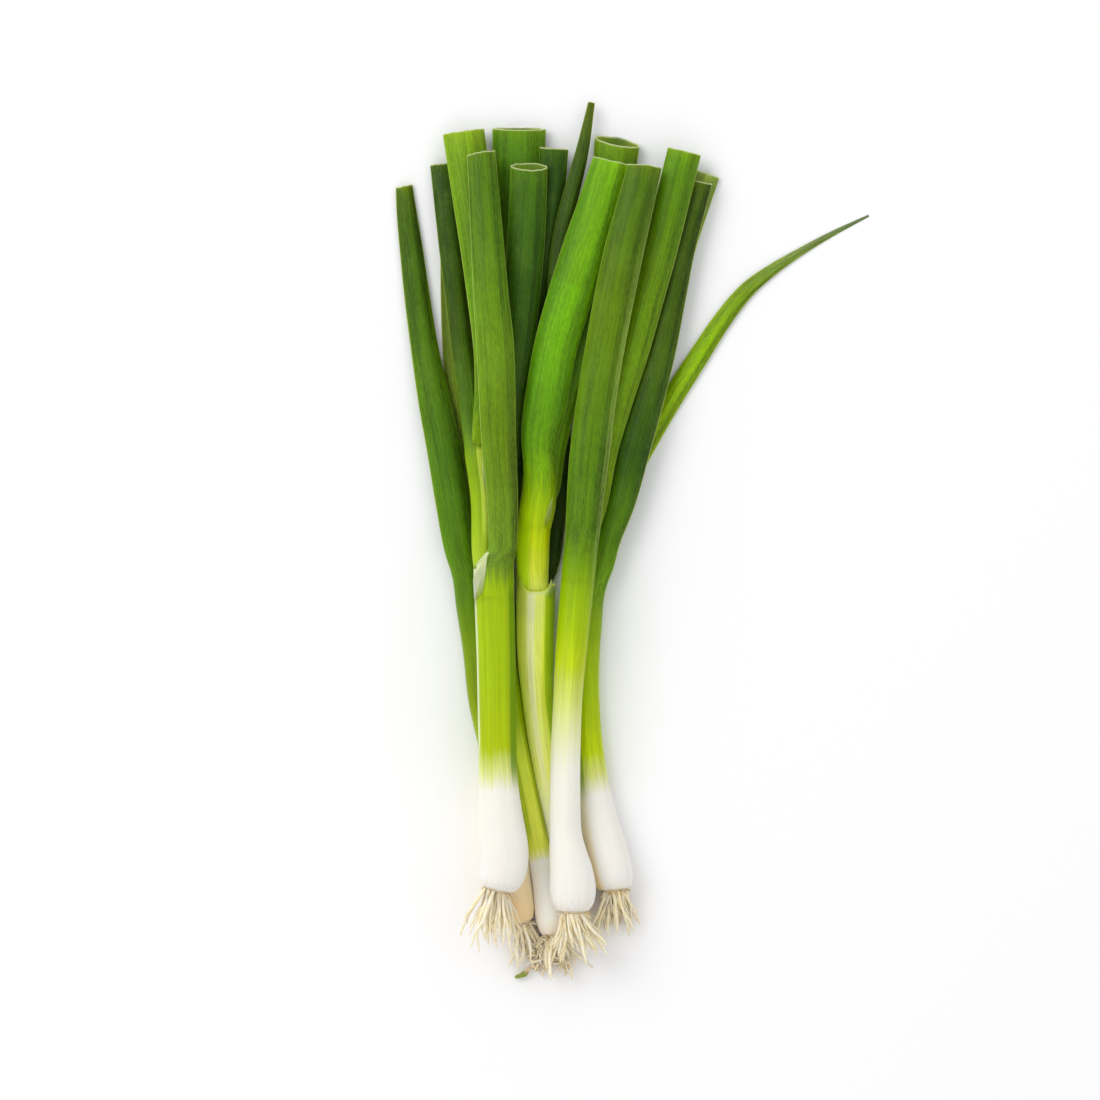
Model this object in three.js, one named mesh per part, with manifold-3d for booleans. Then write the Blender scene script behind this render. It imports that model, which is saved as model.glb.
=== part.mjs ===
// Spring onion bunch: six whole plants, with their roots, lying together on a flat surface.
// Millimetres, +Z up. +Y runs along the stems towards the leaf tips. The origin is under the middle of
// the bunch, at the surface that it lies on.
//
// Each plant is a shank (the bulb and the stem of rolled sheaths above it), its hollow leaves, which stand
// in the sheath's open mouth, and a tuft of roots. The pieces are laid on each other from the lowest to the
// highest, and each takes the lowest place that clears what lies under it.

import * as THREE from 'three';
import { mergeVertices } from 'three/addons/utils/BufferGeometryUtils.js';
import Module from 'manifold-3d';

const wasm = await Module();
wasm.setup();

// Driving dimensions.
const AIR = 0.6; // clear height kept between a piece and what it lies on
const SEAT = 0.35; // depth to which a piece that lies on the surface is flattened by it
const LEAF_WALL = 0.95; // thickness of a hollow leaf
const SHEATH_WALL = 0.8; // thickness of the sheath round the leaf bases
const MOUTH_DEPTH = 5; // depth of the sheath's open mouth
const BASE_DEPTH = 3.5; // length of a leaf that stands in the mouth
const LEAST_HOLLOW = 3.4; // a leaf that is less high than this is solid there
const LEAF_SAG = 0.0012; // curvature in which a leaf hangs between two supports, per mm
const STEM_SAG = 0.0002; // the same for a stem, which is much stiffer
const LEAF_FALL = 0.22; // steepest slope at which a leaf goes down towards its tip
const STEM_FALL = 0.1; // the same for a stem
const PLATE_HEIGHT = 1.3; // root plate under each bulb
const PLATE_GAP = 0.3; // air between a bulb and its root plate
const ROOT_RADIUS = 0.68; // a root where it leaves the plate
const ROOT_TIP = 0.4; // and at its tip
const ROOT_AIR = 0.45; // clear distance between roots and the next plant

// How finely the solids are drawn.
const FINE = 64; // steps along a piece while it is laid
const LEAF_SIDES = 10;
const LEAF_STEPS = 12;
const SHANK_SIDES = 14;
const SHANK_STEPS = 13;
const NECK_STEPS = 5;
const ROOT_SIDES = 4;
const ROOT_STEPS = 4;

// Colours.
const BULB_WHITE = 0xf7f3e6;
const DARK_GREEN = 0x4d7f24;
const MID_GREEN = 0x629a26;
const LIGHT_GREEN = 0x86b435;
const ROOT_CREAM = 0xeee0c3;

// The pieces, in the order in which they are laid. A path runs from the base upwards through
// [x, y, width] in plan, and flat is a section's height over its width. A leaf stands in the mouth of the
// piece named by its "from", at its seat's height over the mouth's middle. Its cut end leans back by
// [lean, skew], as slopes over its height and over its width, so a lean opens the cut to the sky. A rise
// is the least slope of a stem that its leaves hold up.
const PIECES = [
  {
    name: 'onion_f_shank', flat: 0.97,
    path: [
      [-37.4, -128.6, 7.6], [-38.4, -125.1, 10.2], [-40.1, -117.6, 11.7], [-42.0, -104.0, 11.7],
      [-44.4, -87.7, 9.3], [-46.8, -74.1, 8.2], [-51.5, -53.7, 7.8], [-53.1, -36.7, 8.4],
      [-54.9, -21.4, 9.5],
    ],
  },
  {
    name: 'onion_b_shank', flat: 0.97,
    path: [
      [-26.7, -132.6, 8.0], [-27.2, -129.2, 10.2], [-28.0, -123.4, 10.3], [-29.4, -114.9, 9.2],
      [-31.3, -106.4, 8.2], [-33.3, -96.2, 7.5], [-35.7, -84.3, 7.1], [-39.4, -65.6, 7.1],
      [-41.3, -53.7, 7.6], [-43.2, -40.1, 7.8], [-43.9, -23.8, 8.8],
    ],
  },
  {
    name: 'onion_d_shank', flat: 0.97,
    path: [
      [-6.0, -117.2, 10.8], [-6.3, -114.9, 13.0], [-7.6, -109.5, 14.0], [-9.1, -103.0, 13.5],
      [-10.8, -96.2, 12.6], [-12.4, -87.7, 11.1], [-14.6, -70.7, 9.3], [-15.5, -52.0, 8.3],
      [-15.5, -38.0, 8.6], [-15.0, -26.0, 9.4],
    ],
  },
  {
    name: 'onion_e_shank', flat: 0.9,
    path: [
      [-18.2, -121.5, 7.0], [-18.5, -119.0, 9.4], [-19.7, -113.5, 10.2], [-22.3, -104.7, 9.8],
      [-25.2, -92.8, 9.4], [-27.8, -80.9, 9.6], [-30.2, -67.3, 10.0], [-32.0, -53.7, 10.4],
      [-32.8, -38.0, 12.1], [-32.8, -17.0, 13.2],
    ],
  },
  {
    name: 'onion_f_leaf_2', from: 'onion_f_shank', seat: -1.7, flat: 0.45, cut: [0, 0],
    path: [
      [-54.9, -24.9, 4.4], [-55.8, -2.7, 5.8], [-57.0, 21.1, 6.1], [-58.8, 41.5, 6.1],
      [-60.9, 56.8, 5.8], [-62.1, 75.5, 5.6], [-62.9, 103.4, 4.8],
    ],
  },
  {
    name: 'onion_f_leaf_1', from: 'onion_f_shank', seat: 1.4, flat: 0.45, cut: [0, 0.1],
    path: [
      [-54.7, -24.9, 5.4], [-54.9, -20.8, 5.6], [-55.2, -17.5, 8.4], [-55.9, -13.0, 9.4],
      [-58.3, -2.7, 10.9], [-61.0, 14.3, 11.9], [-63.8, 31.3, 11.9], [-67.2, 48.3, 11.1],
      [-70.4, 65.3, 9.5], [-72.9, 82.3, 8.8], [-75.0, 99.3, 8.0], [-76.5, 111.2, 7.0],
      [-77.5, 121.0, 5.8],
    ],
  },
  {
    name: 'onion_b_leaf_2', from: 'onion_b_shank', seat: -2.0, flat: 0.39, cut: [0.15, 0],
    path: [
      [-43.8, -27.3, 4.4], [-44.0, -22.4, 4.7], [-44.7, -14.0, 6.8], [-44.6, -4.0, 8.8],
      [-44.0, 14.3, 10.8], [-43.0, 38.1, 12.6], [-41.8, 61.9, 13.8], [-40.6, 82.3, 15.0],
      [-39.4, 102.7, 16.3], [-38.6, 123.1, 17.7], [-38.4, 140.4, 18.4],
    ],
  },
  {
    name: 'onion_b_leaf_3', from: 'onion_b_shank', seat: -0.1, flat: 0.46, cut: [0.1, 0],
    path: [
      [-43.7, -27.3, 3.1], [-43.9, -22.4, 3.2], [-43.6, -14.0, 4.6], [-42.8, -4.0, 5.8],
      [-41.2, 14.3, 6.5], [-39.3, 31.3, 7.1], [-36.9, 48.3, 7.8], [-34.8, 65.3, 8.2], [-32.5, 82.3, 8.7],
      [-29.9, 99.3, 9.2], [-27.9, 114.6, 9.5], [-26.5, 133.6, 9.9],
    ],
  },
  {
    name: 'onion_d_leaf_3', from: 'onion_d_shank', seat: -1.4, flat: 0.42, tip: true,
    path: [
      [-13.4, -29.5, 2.8], [-13.2, -24.8, 2.9], [-11.9, -16.0, 3.6], [-8.6, -3.4, 4.6],
      [-3.6, 12.2, 5.6], [1.4, 26.0, 6.4], [6.8, 36.7, 7.0], [13.4, 48.3, 7.2], [21.9, 61.9, 7.0],
      [30.8, 75.5, 6.3], [38.8, 85.4, 5.5], [47.2, 92.2, 4.2], [57.1, 98.6, 2.8], [68.0, 104.8, 1.9],
      [80.5, 111.0, 0.8],
    ],
  },
  {
    name: 'onion_d_leaf_2', from: 'onion_d_shank', seat: -1.4, flat: 0.45, cut: [0.1, 0],
    path: [
      [-16.7, -29.5, 2.8], [-16.6, -24.8, 3.0], [-15.0, -15.0, 4.6], [-12.0, -2.7, 6.1],
      [-7.5, 14.3, 6.8], [-3.0, 31.3, 7.5], [2.5, 48.3, 8.2], [8.0, 65.3, 8.2], [12.6, 82.3, 8.2],
      [17.9, 101.0, 8.2], [25.8, 125.1, 8.2],
    ],
  },
  {
    name: 'onion_d_leaf_1', from: 'onion_d_shank', seat: 1.7, flat: 0.48, cut: [0, 0.1],
    path: [
      [-15.1, -29.5, 5.0], [-14.9, -25.2, 5.2], [-14.0, -22.0, 7.6], [-11.8, -12.9, 8.2],
      [-9.9, -6.1, 8.4], [-8.4, 0.7, 9.0], [-3.7, 14.3, 10.2], [0.7, 31.3, 10.9], [5.4, 48.3, 10.9],
      [9.7, 65.3, 10.4], [13.3, 82.3, 9.7], [17.0, 99.3, 8.8], [23.8, 122.1, 6.8],
    ],
  },
  {
    name: 'onion_e_leaf_3', from: 'onion_e_shank', seat: -3.4, flat: 0.45, tip: true,
    path: [
      [-31.4, -20.5, 3.0], [-31.0, -16.0, 3.2], [-28.6, -11.5, 4.8], [-27.0, -5.0, 5.6],
      [-25.8, 3.0, 5.4], [-24.6, 12.0, 4.8], [-23.2, 31.3, 5.0], [-24.2, 48.3, 5.7], [-25.6, 65.3, 6.1],
      [-25.8, 82.3, 6.1], [-24.8, 97.6, 6.1], [-22.4, 111.2, 5.8], [-17.2, 131.6, 4.6],
      [-13.8, 149.2, 2.4],
    ],
  },
  {
    name: 'onion_e_neck', from: 'onion_e_shank', seat: 1.2, flat: 0.68, part: 'onion_e_shank',
    rise: 0.12,
    path: [
      [-33.5, -25.0, 9.2], [-33.5, -16.3, 9.6], [-33.8, -6.1, 10.8], [-33.3, 4.1, 10.8],
      [-32.1, 11.6, 11.8],
    ],
  },
  {
    name: 'onion_b_leaf_1', from: 'onion_b_shank', seat: 1.8, flat: 0.47, cut: [0.5, 0],
    path: [
      [-43.9, -27.3, 3.9], [-44.0, -22.4, 4.1], [-44.1, -14.0, 5.8], [-43.9, -4.0, 7.6],
      [-43.9, 14.3, 9.0], [-43.6, 31.3, 9.8], [-41.9, 48.3, 10.8], [-39.3, 65.3, 11.9],
      [-37.6, 82.3, 12.4], [-36.2, 99.3, 12.8], [-35.4, 114.6, 12.8], [-35.0, 127.2, 12.6],
    ],
  },
  {
    name: 'onion_e_leaf_2', from: 'onion_e_neck', seat: -0.9, flat: 0.45, cut: [0.5, -0.1],
    path: [
      [-29.8, 8.1, 3.2], [-29.2, 12.6, 3.4], [-27.3, 17.0, 5.0], [-25.6, 32.0, 6.4], [-21.7, 48.3, 7.0],
      [-16.7, 65.3, 9.2], [-13.3, 82.3, 11.2], [-10.2, 99.3, 12.9], [-7.1, 116.3, 14.3],
      [-5.1, 136.0, 15.6],
    ],
  },
  {
    name: 'onion_a_shank', flat: 0.93,
    path: [
      [-45.6, -116.8, 11.8], [-45.0, -114.4, 14.6], [-43.7, -109.1, 16.3], [-43.7, -103.0, 16.5],
      [-44.5, -92.8, 14.6], [-45.2, -82.6, 12.9], [-45.6, -72.4, 12.4], [-45.9, -53.7, 12.6],
      [-46.2, -36.7, 12.8], [-46.9, -12.9, 13.3],
    ],
  },
  {
    name: 'onion_a_neck', from: 'onion_a_shank', seat: -1.2, flat: 0.9, part: 'onion_a_shank',
    path: [
      [-49.3, -21.0, 6.2], [-49.4, -14.0, 6.4], [-50.2, -8.0, 6.8], [-50.8, -2.7, 6.8],
      [-51.3, 14.3, 6.6], [-52.9, 29.2, 7.4],
    ],
  },
  {
    name: 'onion_a_leaf_3', from: 'onion_a_neck', seat: -1.4, flat: 0.5, cut: [0.1, 0],
    path: [
      [-52.6, 25.7, 3.4], [-53.1, 30.6, 3.6], [-54.3, 37.0, 6.0], [-55.4, 48.3, 6.8], [-57.6, 65.3, 7.5],
      [-59.5, 82.3, 7.8], [-61.4, 99.3, 8.3], [-64.3, 128.5, 8.8],
    ],
  },
  {
    name: 'onion_a_leaf_2', from: 'onion_a_neck', seat: 1.1, flat: 0.42, cut: [0.15, 0],
    path: [
      [-52.5, 25.7, 3.4], [-52.6, 30.6, 3.7], [-51.0, 39.8, 6.3], [-49.3, 50.0, 8.4],
      [-48.6, 65.3, 10.5], [-49.6, 82.3, 12.6], [-51.5, 99.3, 13.6], [-53.9, 116.3, 14.1],
      [-57.3, 139.4, 14.3],
    ],
  },
  {
    name: 'onion_c_shank', flat: 0.95,
    path: [
      [-20.1, -124.4, 10.4], [-20.1, -122.2, 13.6], [-20.2, -117.3, 15.3], [-20.7, -111.5, 14.3],
      [-21.9, -104.7, 12.2], [-22.6, -97.9, 10.5], [-22.8, -87.7, 10.0], [-22.6, -70.7, 9.7],
      [-21.9, -53.7, 9.5], [-20.7, -36.7, 10.2], [-17.9, -6.8, 11.2],
    ],
  },
  {
    name: 'onion_c_leaf_2', from: 'onion_c_shank', seat: -2.1, flat: 0.46, cut: [0.15, 0],
    path: [
      [-17.7, -10.3, 4.0], [-17.0, -5.6, 4.2], [-13.8, 4.1, 5.2], [-11.4, 14.3, 6.5], [-9.0, 31.3, 8.5],
      [-4.6, 48.3, 9.9], [0.5, 65.3, 10.7], [4.9, 82.3, 11.4], [9.5, 99.3, 11.7], [17.7, 132.6, 11.6],
    ],
  },
  {
    name: 'onion_a_leaf_1', from: 'onion_a_shank', seat: 2.5, flat: 0.5, cut: [0, 0.1],
    path: [
      [-45.3, -16.4, 5.0], [-45.0, -12.2, 5.2], [-44.4, -9.2, 8.2], [-43.9, -5.0, 9.0],
      [-43.8, 2.0, 10.0], [-43.9, 14.3, 10.5], [-45.1, 31.3, 11.7], [-46.4, 65.3, 12.9],
      [-47.8, 82.3, 12.1], [-50.0, 114.6, 10.5], [-51.2, 131.6, 9.7],
    ],
  },
  {
    name: 'onion_e_leaf_1', from: 'onion_e_neck', seat: 1.0, flat: 0.46, cut: [0.1, 0.05],
    path: [
      [-33.7, 8.1, 4.4], [-33.8, 13.0, 4.6], [-33.6, 19.5, 9.2], [-32.8, 25.5, 11.0],
      [-32.1, 33.7, 12.3], [-30.5, 41.5, 13.8], [-29.3, 47.6, 14.7], [-26.2, 65.3, 14.8], [-21.4, 82.3, 15.3],
      [-16.0, 99.3, 15.5], [-11.7, 112.9, 14.5], [-7.0, 129.2, 12.9],
    ],
  },
  {
    name: 'onion_c_leaf_1', from: 'onion_c_shank', seat: 1.8, flat: 0.46, cut: [0, 0.14],
    path: [
      [-18.2, -10.3, 6.2], [-17.8, -6.0, 6.4], [-17.5, -3.0, 10.0], [-17.0, 0.7, 11.4],
      [-16.0, 14.3, 12.6], [-14.5, 29.6, 13.6], [-12.4, 46.6, 13.4], [-9.4, 65.3, 13.4],
      [-6.3, 82.3, 13.6], [-2.7, 99.3, 13.4], [4.2, 127.2, 11.6],
    ],
  },
];

// The root tufts, in the order in which they are drawn. The fan is how far the outer roots turn away
// from the bulb's axis, the drop is how fast they bend down, and the aim is how far they all lean to +X.
const TUFTS = [
  { plant: 'f', roots: 12, length: 17, fan: 0.45, drop: 0.12, aim: 0 },
  { plant: 'b', roots: 15, length: 16, fan: 0.60, drop: 0.10, aim: -0.20 },
  { plant: 'd', roots: 16, length: 17, fan: 0.40, drop: 0.12, aim: -0.05 },
  { plant: 'e', roots: 10, length: 15, fan: 0.45, drop: 0.12, aim: 0 },
  { plant: 'a', roots: 20, length: 22, fan: 0.45, drop: 0.12, aim: 0.20 },
  { plant: 'c', roots: 20, length: 18, fan: 0.45, drop: 0.10, aim: 0.25 },
];

const byName = new Map(PIECES.map((piece) => [piece.name, piece]));

// A smooth line of FINE steps through a path's points, with the section's half width and half height.
function walk(piece) {
  const { path, flat } = piece;
  const last = path.length - 1;
  const run = [0];
  for (let k = 1; k <= last; k++) {
    run.push(run[k - 1] + Math.hypot(path[k][0] - path[k - 1][0], path[k][1] - path[k - 1][1]));
  }
  const slope = (k, axis) => {
    const before = Math.max(k - 1, 0);
    const after = Math.min(k + 1, last);
    return (path[after][axis] - path[before][axis]) / (run[after] - run[before]);
  };
  const stations = [];
  for (let i = 0; i <= FINE; i++) {
    const s = (run[last] * i) / FINE;
    let k = 0;
    while (k < last - 1 && s > run[k + 1]) k++;
    const span = run[k + 1] - run[k];
    const t = (s - run[k]) / span;
    const value = (axis) =>
      (2 * t ** 3 - 3 * t ** 2 + 1) * path[k][axis] + (t ** 3 - 2 * t ** 2 + t) * span * slope(k, axis) +
      (3 * t ** 2 - 2 * t ** 3) * path[k + 1][axis] + (t ** 3 - t ** 2) * span * slope(k + 1, axis);
    const width = value(2);
    stations.push({ x: value(0), y: value(1), z: 0, a: width / 2, b: (width * flat) / 2, s });
  }
  return stations;
}

// Unit vector to the right of a piece at one of its stations, in plan.
function sideways(stations, i) {
  const p = stations[Math.max(i - 1, 0)];
  const q = stations[Math.min(i + 1, stations.length - 1)];
  const length = Math.hypot(q.x - p.x, q.y - p.y);
  return [(q.y - p.y) / length, -(q.x - p.x) / length];
}

// The highest point of the laid pieces over a point in plan, or the surface itself.
const END_ROOM = 3; // a laid piece is taken this much longer, for its slanted cut
function heightUnder(laid, x, y) {
  let top = -SEAT - AIR;
  for (const { stations } of laid) {
    for (let i = 0; i < stations.length - 1; i++) {
      const p = stations[i];
      const q = stations[i + 1];
      const dx = q.x - p.x;
      const dy = q.y - p.y;
      const length = Math.hypot(dx, dy);
      const t = ((x - p.x) * dx + (y - p.y) * dy) / length ** 2;
      const low = i === 0 ? -0.1 : 0;
      const high = i === stations.length - 2 ? 1 + END_ROOM / length : 1;
      if (t < low || t > high) continue;
      const off = Math.abs((x - p.x) * dy - (y - p.y) * dx) / length;
      const f = Math.min(Math.max(t, 0), 1);
      const a = p.a + (q.a - p.a) * f;
      if (off >= a) continue;
      const b = p.b + (q.b - p.b) * f;
      top = Math.max(top, p.z + (q.z - p.z) * f + b * Math.sqrt(1 - (off / a) ** 2));
    }
  }
  return top;
}

// The lowest height at which each station of a piece clears what is laid.
const ACROSS = [-0.98, -0.9, -0.75, -0.5, -0.25, 0, 0.25, 0.5, 0.75, 0.9, 0.98];
function lowestHeights(stations, laid) {
  return stations.map((p, i) => {
    const [nx, ny] = sideways(stations, i);
    return Math.max(...ACROSS.map((u) => {
      const under = heightUnder(laid, p.x + nx * u * p.a, p.y + ny * u * p.a);
      return under + AIR + p.b * Math.sqrt(1 - u * u);
    }));
  });
}

// Heights along a piece that hangs over its supports with one curvature: the upper hull of the
// heights it needs, once the parabola of that curvature is taken off. It goes down towards its ends no
// more steeply than the fall, except from a base that is seated in a mouth.
const SMOOTHING = 3; // stations each side over which a bend is rounded
function drape(stations, need, first, sag, fall) {
  const around = (i) => need.slice(Math.max(i - SMOOTHING, first), i + SMOOTHING + 1);
  const wide = need.map((_, i) => Math.max(...around(i)));
  wide[first] = need[first];
  const straight = wide.map((z, i) => z - (sag * stations[i].s ** 2) / 2);
  const hull = [];
  for (let i = first; i < straight.length; i++) {
    while (hull.length > 1) {
      const [p, q] = hull.slice(-2);
      const rise = (straight[q] - straight[p]) / (stations[q].s - stations[p].s);
      const next = (straight[i] - straight[q]) / (stations[i].s - stations[q].s);
      if (next < rise) break;
      hull.pop();
    }
    hull.push(i);
  }
  let z = [];
  for (let k = 1; k < hull.length; k++) {
    const p = hull[k - 1];
    const q = hull[k];
    for (let i = p; i <= q; i++) {
      const t = (stations[i].s - stations[p].s) / (stations[q].s - stations[p].s);
      z[i] = straight[p] + (straight[q] - straight[p]) * t + (sag * stations[i].s ** 2) / 2;
    }
  }
  for (let i = first + 1; i < z.length; i++) {
    z[i] = Math.max(z[i], z[i - 1] - fall * (stations[i].s - stations[i - 1].s));
  }
  for (let i = z.length - 2; i >= 0 && first === 0; i--) {
    z[i] = Math.max(z[i], z[i + 1] - fall * (stations[i + 1].s - stations[i].s));
  }
  for (let round = 0; round < SMOOTHING; round++) {
    z = z.map((h, i) => (i <= first || i === z.length - 1 ? h : (z[i - 1] + 2 * h + z[i + 1]) / 4));
  }
  return z;
}

// Lays the pieces in turn, and gives each of their stations its height.
function layPieces() {
  const laid = [];
  for (const piece of PIECES) {
    const stations = walk(piece);
    const host = byName.get(piece.from);
    const others = laid.filter((other) => other !== host && other.part !== piece.from);
    const need = lowestHeights(stations, host ? others : laid);
    let first = 0;
    if (host) {
      const mouth = host.stations[FINE];
      const below = host.stations.find(({ s }) => s > mouth.s - MOUTH_DEPTH);
      const rise = (mouth.z - below.z) / (mouth.s - below.s);
      const depth = piece.part ? stations[0].s + MOUTH_DEPTH + BASE_DEPTH : BASE_DEPTH;
      while (stations[first].s < depth) first++;
      for (let i = 0; i <= first; i++) {
        need[i] = mouth.z + (stations[i].s - depth) * rise + piece.seat;
        stations[i].z = need[i];
      }
    }
    const stem = !host || piece.part;
    const fall = piece.rise ? -piece.rise : stem ? STEM_FALL : LEAF_FALL;
    const z = drape(stations, need, first, stem ? STEM_SAG : LEAF_SAG, fall);
    for (let i = first; i < stations.length; i++) stations[i].z = z[i];
    piece.stations = stations;
    piece.rim = first;
    laid.push(piece);
  }
}

// Unit vectors right, up and along a piece at one of its stations.
function frameAt(stations, i) {
  const p = stations[Math.max(i - 1, 0)];
  const q = stations[Math.min(i + 1, stations.length - 1)];
  const along = new THREE.Vector3(q.x - p.x, q.y - p.y, q.z - p.z).normalize();
  const right = new THREE.Vector3(along.y, -along.x, 0).normalize();
  const up = new THREE.Vector3().crossVectors(right, along);
  return { right, up, along };
}

// One oval ring of points round a station, drawn in by the wall's thickness.
function ringAt(stations, i, sides, wall, cut) {
  const p = stations[i];
  const { right, up, along } = frameAt(stations, i);
  const ring = [];
  for (let j = 0; j < sides; j++) {
    const angle = (2 * Math.PI * j) / sides;
    const u = (p.a - wall) * Math.cos(angle);
    const v = (p.b - wall) * Math.sin(angle);
    const slide = cut ? cut[1] * u - cut[0] * v : 0;
    ring.push(
      new THREE.Vector3(p.x, p.y, p.z).addScaledVector(right, u).addScaledVector(up, v)
        .addScaledVector(along, slide),
    );
  }
  return ring;
}

// A closed solid through a row of rings, with a flat face at each end.
function solidThrough(rings) {
  const sides = rings[0].length;
  const points = rings.flat();
  const faces = [];
  const at = (i, j) => i * sides + (j % sides);
  for (let i = 0; i < rings.length - 1; i++) {
    for (let j = 0; j < sides; j++) {
      faces.push([at(i, j), at(i + 1, j), at(i + 1, j + 1)], [at(i, j), at(i + 1, j + 1), at(i, j + 1)]);
    }
  }
  const close = (i, turn) => {
    const centre = points.length;
    points.push(rings[i].reduce((sum, p) => sum.add(p), new THREE.Vector3()).divideScalar(sides));
    for (let j = 0; j < sides; j++) {
      faces.push(turn ? [centre, at(i, j + 1), at(i, j)] : [centre, at(i, j), at(i, j + 1)]);
    }
  };
  close(0, false);
  close(rings.length - 1, true);
  const mesh = new wasm.Mesh({
    numProp: 3,
    vertProperties: Float32Array.from(points.flatMap((p) => [p.x, p.y, p.z])),
    triVerts: Uint32Array.from(faces.flat()),
  });
  return new wasm.Manifold(mesh);
}

// Stations that a solid is drawn through: closer together near the base, where a piece changes most.
const CROWD = 1.35;
function chosen(piece, steps) {
  const picks = new Set(piece.rim ? [0, piece.rim, piece.rim + 2] : [0, 1, 2, 3, 5]);
  for (let k = 1; k <= steps; k++) {
    const pick = Math.round(FINE * (k / steps) ** CROWD);
    if (pick > (piece.rim ?? 5) + 2) picks.add(pick);
  }
  return [...picks];
}

// A leaf: a hollow oval tube with a cut end, or a solid blade where it keeps its own tip.
function leafSolid(piece) {
  const { stations, cut, tip } = piece;
  const picks = chosen(piece, LEAF_STEPS);
  const outer = picks.map((i) => ringAt(stations, i, LEAF_SIDES, 0, i === FINE ? cut : null));
  if (tip) return solidThrough(outer);
  const roomy = picks.filter((i) => stations[i].s > 2 * MOUTH_DEPTH && 2 * stations[i].b > LEAST_HOLLOW);
  const inner = roomy.map((i) => ringAt(stations, i, LEAF_SIDES, LEAF_WALL, i === FINE ? cut : null));
  return solidThrough([...outer, ...inner.reverse()]);
}

// A stretch of stem: solid, with an open mouth at its top for the leaf bases.
function stemSolid(piece, steps) {
  const { stations } = piece;
  const outer = chosen(piece, steps).map((i) => ringAt(stations, i, SHANK_SIDES, 0));
  let floor = FINE;
  while (stations[FINE].s - stations[floor].s < MOUTH_DEPTH) floor--;
  const inner = [FINE, floor].map((i) => ringAt(stations, i, SHANK_SIDES, SHEATH_WALL));
  return solidThrough([...outer, ...inner]);
}

// A shank with the inner stems that rise out of its mouth.
function shankSolid(piece) {
  return PIECES.filter((other) => other.part === piece.name)
    .reduce((solid, neck) => solid.add(stemSolid(neck, NECK_STEPS)), stemSolid(piece, SHANK_STEPS));
}

// Seeded random numbers from 0 to 1.
function randomFrom(seed) {
  let state = seed;
  return () => {
    state = (state + 0x6d2b79f5) >>> 0;
    let t = state;
    t = Math.imul(t ^ (t >>> 15), t | 1);
    t ^= t + Math.imul(t ^ (t >>> 7), t | 61);
    return ((t ^ (t >>> 14)) >>> 0) / 4294967296;
  };
}

// One root's line: it leaves the plate outwards, wavers, and bends down to the surface.
const GOLDEN_ANGLE = Math.PI * (3 - Math.sqrt(5)); // spreads the roots evenly over the plate
const SPIN_SPREAD = 0.6; // random turn about the bulb's axis
const PLATE_SHARE = 0.82; // the outermost root's place on the plate, over its radius
const LEAN_SPREAD = [0.7, 0.6]; // a root's own share of the fan: the least, and the random rest
const LENGTH_SPREAD = [0.72, 0.38]; // its own share of the length, likewise
const WAVER = 0.35; // random turn to the side
const WAVER_BACK = -0.6; // share of it that is turned back at the next step
const SHIVER = 0.12; // random turn at each step
const LIFT = 0.1; // clear height kept over the surface
function drawRoot(tuft, plate, k, length, random) {
  const spin = k * GOLDEN_ANGLE + random() * SPIN_SPREAD;
  const rim = Math.sqrt((k + 0.5) / tuft.roots);
  const out = plate.right.clone().multiplyScalar(Math.cos(spin)).addScaledVector(plate.up, Math.sin(spin));
  const point = plate.centre.clone().addScaledVector(out, rim * plate.radius * PLATE_SHARE);
  const lean = rim * tuft.fan * (LEAN_SPREAD[0] + LEAN_SPREAD[1] * random());
  const heading = plate.away.clone().addScaledVector(out, lean);
  heading.x += tuft.aim;
  heading.normalize();
  const turn = (random() - 0.5) * WAVER;
  const line = [point.clone()];
  for (let i = 0; i < ROOT_STEPS; i++) {
    heading.x += turn * (i % 2 ? WAVER_BACK : 1) + (random() - 0.5) * SHIVER;
    heading.z -= tuft.drop;
    heading.normalize();
    point.addScaledVector(heading, length / ROOT_STEPS);
    point.z = Math.max(point.z, ROOT_RADIUS + LIFT);
    line.push(point.clone());
  }
  return line;
}

// Spheres along a line, close enough together to stand for it when its clearance is tested.
const BEAD_STEP = 0.7;
function beads(line, r) {
  const row = [];
  for (let i = 0; i < line.length - 1; i++) {
    const parts = Math.ceil(line[i].distanceTo(line[i + 1]) / BEAD_STEP);
    for (let k = 0; k < parts; k++) row.push({ p: line[i].clone().lerp(line[i + 1], k / parts), r });
  }
  row.push({ p: line[line.length - 1], r });
  return row;
}

function isClear(row, others) {
  return row.every(({ p, r }) => others.every((o) => p.distanceTo(o.p) > r + o.r + ROOT_AIR));
}

// The plate that the roots grow from: an eight-sided button under the bulb.
const PLATE_SIDES = 8;
const PLATE_WIDTH = 0.86; // over the width of the bulb's underside
const PLATE_PROFILE = [[1, 0.7], [0.4, 1], [0, 0.9]]; // distance over its height, size over its radius
function plateSolid({ face, right, up, away, radius }) {
  return solidThrough(PLATE_PROFILE.map(([distance, size]) => {
    const middle = face.clone().addScaledVector(away, distance * PLATE_HEIGHT);
    return Array.from({ length: PLATE_SIDES }, (_, j) => {
      const angle = (2 * Math.PI * (j + 0.5)) / PLATE_SIDES;
      return middle.clone().addScaledVector(right, size * radius * Math.cos(angle))
        .addScaledVector(up, size * radius * Math.sin(angle));
    });
  }));
}

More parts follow.
